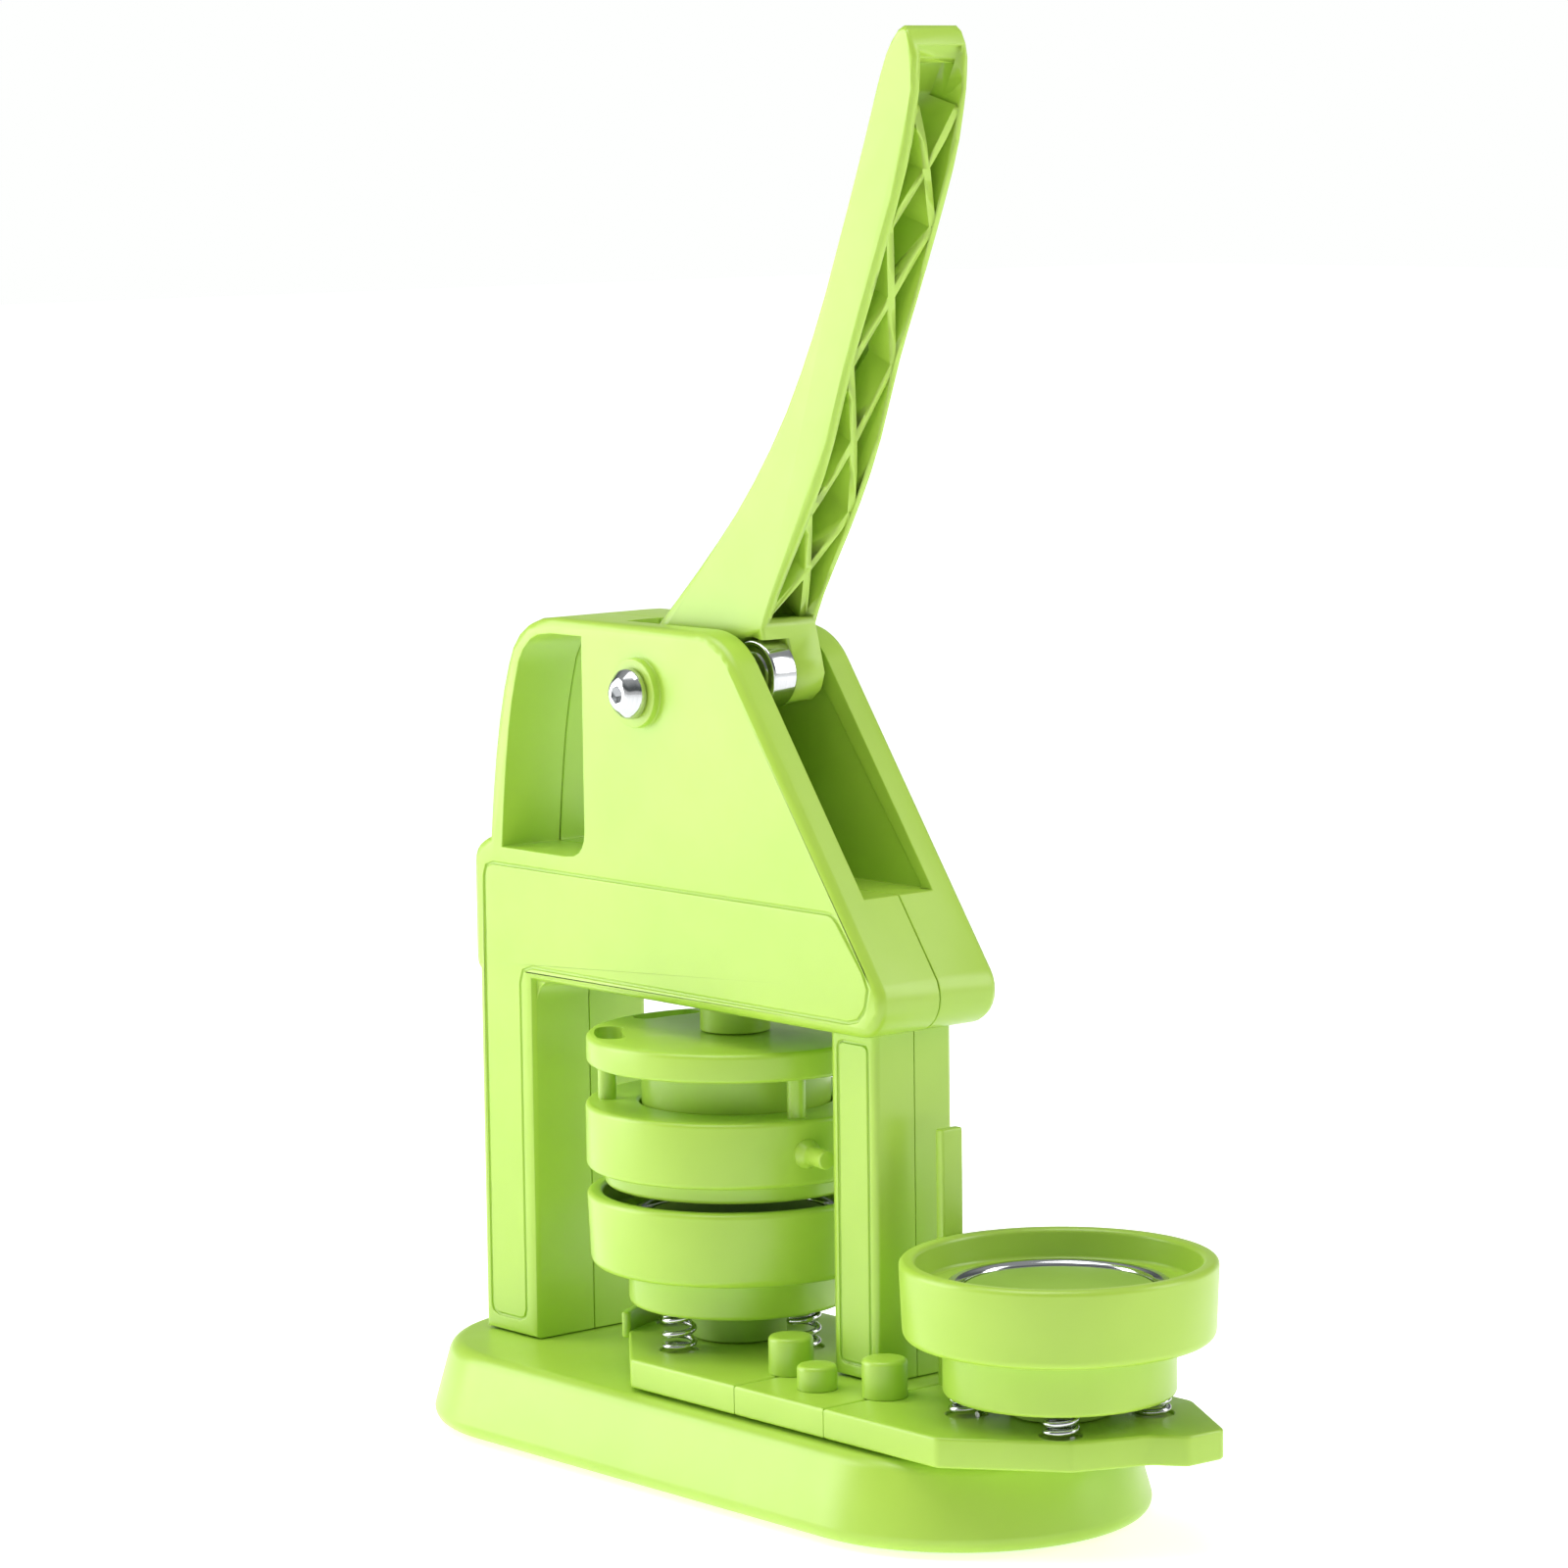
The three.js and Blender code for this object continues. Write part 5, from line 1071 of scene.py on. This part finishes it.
@dataclass
class LowerDie:
    """One sprung lower die: cup, steel ring, core and four springs."""

    letter: str
    first_spring: float
    keep: float
    skirt: float = 20.5
    radius: float = 41.0
    neck: float = 30.0
    hub: float = 13.0
    bore: float = 36.8
    depth: float = 8.0
    ring_outer: float = 29.3
    ring_inner: float = 25.1
    ring_depth: float = 6.1
    ring_height: float = 3.6
    spring_circle: float = 23.8
    spring_radius: float = 4.8
    spring_wire: float = 1.7
    spring_turns: float = 4.6

    def spring_places(self) -> list[tuple[float, float]]:
        """Give the four spring axes."""
        centre = axis_of(f"cup_{self.letter}")
        return [polar(centre, self.spring_circle, self.first_spring + way) for way in (0, 90, 180, 270)]

    def build(self, shop: Workshop) -> None:
        """Make the cup, the ring, the core and the springs."""
        centre = axis_of(f"cup_{self.letter}")
        neck_end, rim = heights_of(f"cup_{self.letter}")
        skirt, ledge = rim - self.skirt, rim - self.depth
        steel_top = rim - self.ring_depth
        steel_bottom = steel_top - self.ring_height
        plate_top = steel_bottom - 0.3
        plate_bottom = plate_top - 2.6
        floor = plate_bottom - 0.3
        fit = self.ring_outer + 0.5
        cup = object_from(f"cup_{self.letter}_turned", [turned([
            (self.hub + 0.5, neck_end, 0.4), (self.neck, neck_end, 1.3), (self.neck, skirt, 1.2),
            (self.radius - 0.9, skirt, 2.6), (self.radius, rim, 1.5), (self.bore, rim, 1.3),
            (self.bore - 0.2, ledge, 1.2), (fit, ledge, 0.4), (fit, floor, 0.3), (self.hub + 0.5, floor, 0.3)],
            centre, around=160)])
        carve(cup, [turned([(0, neck_end - 1), (self.spring_radius + 0.3, neck_end - 1),
                            (self.spring_radius + 0.3, neck_end + 6), (0, neck_end + 6)], place, closed=False,
                           around=40) for place in self.spring_places()])
        shop.finish(cup, f"cup_{self.letter}", Slot.GREEN, f"cup_{self.letter}")
        ring = object_from(f"die_ring_{self.letter}_turned", [turned([
            (self.ring_inner, steel_bottom, 0.2), (self.ring_outer, steel_bottom, 0.2),
            (self.ring_outer, steel_top, 1.7), (self.ring_inner, steel_top, 1.7)], centre, around=160)])
        shop.finish(ring, "swivel", Slot.BRIGHT_STEEL, f"die_ring_{self.letter}")
        core_top, core_bottom = heights_of(f"die_core_{self.letter}")[::-1]
        disc = self.ring_inner - 0.3
        core = object_from(f"die_core_{self.letter}_turned", [turned([
            (0, core_top), (disc, core_top, 0.7), (disc, plate_top), (self.ring_outer, plate_top, 0.2),
            (self.ring_outer, plate_bottom, 0.2), (self.hub, plate_bottom, 0.5), (self.hub, core_bottom, 0.5),
            (2.8, core_bottom), (2.8, core_top - 3), (0, core_top - 3)], centre, closed=False, around=128)])
        shop.finish(core, "swivel", Slot.DEEP_GREEN, f"die_core_{self.letter}")
        shop.keep(Slot.ZINC_STEEL, f"die_screw_{self.letter}")
        self.build_springs(shop, neck_end + 6 - 0.3)

    def build_springs(self, shop: Workshop, top: float) -> None:
        """Make the four springs between the plate and the cup.

        Args:
            shop: the workshop.
            top: the springs' upper face.
        """
        bottom = heights_of("centre_peg")[1] - 6.6 - 0.5
        for number, place in enumerate(self.spring_places(), 1):
            spring = object_from(f"die_coil_{self.letter}{number}", [coil(
                place, self.spring_radius, self.spring_wire, self.spring_turns, bottom, top, start=90.0 * number)])
            shop.finish(spring, "swivel", Slot.BRIGHT_STEEL, f"die_spring_{self.letter}{number}")
            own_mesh(spring)


@dataclass
class SwingPlate:
    """The plate that swings under the frame's right leg: hub, two carriers, pegs and the toggle bar."""

    split: float = 17.8
    front: float = 40.6
    rear: float = 34.5
    edge: float = 0.9
    tongue: float = 12.0
    tongue_half: float = 30.0
    reach: float = 63.5
    peg_stem: float = 2.6

    def carrier_outline(self, centre: float, side: float) -> np.ndarray:
        """Round the corners of a carrier's outline.

        Args:
            centre: X of the swivel axis.
            side: -1 for the left carrier, +1 for the right one.

        Returns:
            The outline in counter-clockwise order.
        """
        near = self.split + 0.15
        corners = [(near, -self.front), (61, -self.front, 3.5), (88, -19.2, 3.0), (92, -10, 7.0), (96, 0.4, 7.0),
                   (103.7, 6.2, 3.0), (104.3, 18.6, 3.0), (77, self.rear, 6.0), (near, self.rear)]
        placed = [(centre + side * corner[0], *corner[1:]) for corner in corners]
        return fillet(placed if side > 0 else placed[::-1])

    def build(self, shop: Workshop, dies: list[LowerDie]) -> None:
        """Make the plate and what stands on it.

        Args:
            shop: the workshop.
            dies: the left die and the right die.
        """
        centre = axis_of("swivel_pin")
        bottom = heights_of("swivel_hub_plate")[0]
        top = heights_of("swivel_hub_plate")[1]
        x = centre[0]
        near = self.split - 0.15
        step = bottom + (top - bottom) / 2 - 0.15
        hub = object_from("hub_plate_moulding", [plate(
            oblong(x - near, x + near, -self.front, self.rear), bottom, top, self.edge)])
        tongues = object_from("hub_tongue_moulding", [plate(
            oblong(x + side * (near - 1) if side > 0 else x - self.split - self.tongue,
                  x + self.split + self.tongue if side > 0 else x - near + 1, -self.tongue_half, self.tongue_half),
            bottom + 0.01, step, 0.3) for side in (-1, 1)])
        pin_hole = turned([(0, bottom - 1), (6.5, bottom - 1), (6.5, top + 1), (0, top + 1)], centre, closed=False)
        carve(hub, [pin_hole])
        shop.finish(hub, "swivel", Slot.GREEN, "swivel_hub_plate")
        shop.finish(tongues, "swivel", Slot.GREEN)
        for letter, side, die in (("a", -1.0, dies[0]), ("b", 1.0, dies[1])):
            carrier = object_from(f"carrier_{letter}_moulding", [
                plate(self.carrier_outline(x, side), bottom, top, self.edge)])
            room = self.split + self.tongue + 0.3
            cutters = [plate(oblong(x if side > 0 else x - room, x + room if side > 0 else x, -self.tongue_half - 0.3,
                                   self.tongue_half + 0.3), bottom - 1, step + 0.3)]
            cutters += [turned([(0, top - 0.8), (5.4, top - 0.8, 0.3), (5.4, top - 0.3, 0.3), (6.2, top + 0.5),
                                (0, top + 0.5)], place, closed=False, around=48) for place in die.spring_places()]
            carve(carrier, cutters)
            shop.finish(carrier, "swivel", Slot.GREEN, f"carrier_{letter}")
        self.build_lip(shop, (x - self.reach, 0.0), top)
        self.build_pegs(shop, top)
        shop.keep(Slot.ZINC_STEEL, "swivel_pin")

    def build_lip(self, shop: Workshop, centre: tuple[float, float], top: float) -> None:
        """Make the raised lip at the end of the left carrier.

        Args:
            shop: the workshop.
            centre: the left die's axis.
            top: the plate's upper face.
        """
        band = arc_band(centre, 31.8, 2.6, 200, 17)
        lip = object_from("finger_lip_moulding", [plate(band, top - 2, top + 5.2, 0.7)])
        shop.finish(lip, "swivel", Slot.GREEN)

    def build_pegs(self, shop: Workshop, top: float) -> None:
        """Make the two lock pegs, the centre peg and the toggle bar.

        Args:
            shop: the workshop.
            top: the plate's upper face.
        """
        for node in ("lock_peg_a", "lock_peg_b", "centre_peg"):
            low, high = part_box(node)
            radius = (high.x - low.x) / 2 / MM
            foot, head = low.z / MM, high.z / MM
            peg = object_from(f"{node}_turned", [turned([
                (0, foot), (self.peg_stem, foot, 0.3), (self.peg_stem, top + 0.05), (radius, top + 0.05, 0.2),
                (radius, head, 1.2), (0, head)], axis_of(node), closed=False, around=64)])
            shop.finish(peg, "swivel", Slot.GREEN, node)
        low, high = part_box("toggle_bar")
        x0, x1, y0, y1 = low.x / MM, high.x / MM, low.y / MM, high.y / MM
        outline = fillet([(x0, y0, 0.7), (x1, y0, 0.7), (x1, y1, 0.7), (x0, y1, 0.7)])
        bar = object_from("toggle_bar_moulding", [plate(outline, low.z / MM, high.z / MM, 0.6)])
        shop.finish(bar, "swivel", Slot.GREEN, "toggle_bar")


# ---------------------------------------------------------------- stage
@dataclass(frozen=True)
class Studio:
    """The camera, the pale floor and the soft lights."""

    azimuth: float = 49.44
    elevation: float = 6.91
    roll: float = -0.76
    lens: float = 124.2
    distance: float = 1445.4
    target: tuple[float, float, float] = (5.2, 0.0, 186.4)
    floor_glow: float = 0.62  # the floor's own light near the press
    far_glow: float = 0.84  # and far away, where it meets the white surroundings
    glow_from: float = 0.7  # metres from the press at which it starts to rise
    glow_to: float = 2.6  # and at which it is full
    surroundings: float = 0.66

    def direction(self, azimuth: float, elevation: float) -> Vector:
        """Give the direction from the object to a place round it.

        Args:
            azimuth: degrees from the front towards the right.
            elevation: degrees above level.

        Returns:
            The unit direction.
        """
        a, e = math.radians(azimuth), math.radians(elevation)
        return Vector((math.sin(a) * math.cos(e), -math.cos(a) * math.cos(e), math.sin(e)))

    def aimed(self, back: Vector) -> Matrix:
        """Give the turn that looks against a direction, with Z kept upright."""
        right = Vector((0, 0, 1)).cross(back).normalized()
        return Matrix((right, back.cross(right), back)).transposed()

    def build_camera(self) -> None:
        """Place the camera."""
        data = bpy.data.cameras.new("camera")
        data.lens, data.sensor_width = self.lens, 36.0
        data.clip_end = 50.0
        camera = bpy.data.objects.new("camera", data)
        back = self.direction(self.azimuth, self.elevation)
        turn = self.aimed(back) @ Matrix.Rotation(math.radians(self.roll), 3, "Z")
        camera.matrix_world = Matrix.Translation((Vector(self.target) + back * self.distance) * MM) @ turn.to_4x4()
        bpy.context.scene.collection.objects.link(camera)
        bpy.context.scene.camera = camera

    def add_light(self, name: str, azimuth: float, elevation: float, away: float, size: tuple[float, float],
                  power: float) -> None:
        """Add a soft box aimed at the press.

        Args:
            name: the light's name.
            azimuth: degrees from the front towards the right.
            elevation: degrees above level.
            away: metres from the press.
            size: its width and height in metres.
            power: watts.
        """
        data = bpy.data.lights.new(name, "AREA")
        data.shape = "RECTANGLE"
        data.size, data.size_y = size
        data.energy = power
        light = bpy.data.objects.new(name, data)
        back = self.direction(azimuth, elevation)
        light.matrix_world = Matrix.Translation(Vector((0, 0, 0.18)) + back * away) @ self.aimed(back).to_4x4()
        bpy.context.scene.collection.objects.link(light)

    def build_floor(self) -> None:
        """Lay the plain pale floor."""
        floor = object_from("studio_floor", [plate(
            np.array([(-9000, -9000), (9000, -9000), (9000, 9000), (-9000, 9000)], float), -6, -0.02)])
        paint = SpeckledSolid("pale_studio_floor", "#F7F7F7", "#F4F4F4", 0.8, speck_size=60.0, grain_depth=0.0)
        material = paint.build()
        shader = next(n for n in material.node_tree.nodes if n.type == "BSDF_PRINCIPLED")
        shader.inputs["Emission Color"].default_value = linear("#FFFFFF")
        tree = material.node_tree
        away = add_node(tree, "ShaderNodeVectorMath", {0: add_node(tree, "ShaderNodeTexCoord").outputs["Object"]},
                        operation="LENGTH")
        glow = add_node(tree, "ShaderNodeMapRange", {
            "Value": away.outputs["Value"], "From Min": self.glow_from, "From Max": self.glow_to,
            "To Min": self.floor_glow, "To Max": self.far_glow})
        tree.links.new(glow.outputs["Result"], shader.inputs["Emission Strength"])
        shader.inputs["Specular IOR Level"].default_value = 0.1
        floor.data.materials.append(material)
        floor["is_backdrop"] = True

    def build_world(self) -> None:
        """Paint the surroundings: white at the horizon and overhead, with a greyer belt between."""
        world = bpy.data.worlds.new("studio")
        bpy.context.scene.world = world
        world.use_nodes = True
        tree = world.node_tree
        tree.nodes.clear()
        look = add_node(tree, "ShaderNodeTexCoord").outputs["Generated"]
        height = add_node(tree, "ShaderNodeSeparateXYZ", {0: look})
        ramp = add_node(tree, "ShaderNodeValToRGB", {"Fac": height.outputs["Z"]})
        stops = ((0.0, "#FFFFFF"), (0.14, "#FFFFFF"), (0.25, "#686D6D"), (0.45, "#7B8080"), (0.7, "#C4C7C7"))
        while len(ramp.color_ramp.elements) < len(stops):
            ramp.color_ramp.elements.new(0.5)
        for element, (position, code) in zip(ramp.color_ramp.elements, stops):
            element.position, element.color = position, linear(code)
        light = add_node(tree, "ShaderNodeBackground", {"Color": ramp.outputs["Color"], "Strength": self.surroundings})
        seen = add_node(tree, "ShaderNodeBackground", {"Color": linear("#FEFFFE"), "Strength": 1.0})
        path = add_node(tree, "ShaderNodeLightPath")
        both = add_node(tree, "ShaderNodeMixShader", {
            0: path.outputs["Is Camera Ray"], 1: light.outputs["Background"], 2: seen.outputs["Background"]})
        add_node(tree, "ShaderNodeOutputWorld", {"Surface": both.outputs["Shader"]})

    def build(self) -> None:
        """Set the stage."""
        self.build_camera()
        self.build_floor()
        self.build_world()
        self.add_light("key", -50, 16, 1.5, (1.1, 1.3), 16.0)
        self.add_light("side_fill", 134, 24, 1.6, (0.6, 1.1), 8.0)
        self.add_light("top_fill", -10, 78, 1.6, (1.2, 1.2), 15.0)
        bpy.context.scene.view_settings.view_transform = "Standard"


def box_lists() -> list[list[float]]:
    """Give the whole object's box as plain lists."""
    bpy.context.view_layer.update()
    return [[float(value) for value in corner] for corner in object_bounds()]


def main() -> None:
    """Build the whole press."""
    logging.basicConfig(level=logging.INFO, format="%(name)s %(message)s")
    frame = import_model()
    cad_box = box_lists()
    shop = Workshop(frame["nodes"], Finishes().build())
    dies = [LowerDie("a", -83.0, keep=0.509), LowerDie("b", -43.0, keep=0.58)]
    Base().build(shop)
    Frame().build(shop)
    Lever().build(shop)
    Ram().build(shop)
    CrimpRing().build(shop)
    for die in dies:
        die.build(shop)
    SwingPlate().build(shop, dies)
    screws = PanScrews()
    screws.build_row(shop, [f"frame_screw_{number}" for number in range(1, 7)], Axis.BACK)
    screws.build_row(shop, [f"bottom_screw_{number}" for number in range(1, 5)], Axis.UP)
    Studio().build()
    {"cad": cad_box, "visual": box_lists()}
    LOG.info("boxes written")


if __name__ == "__main__":
    main()
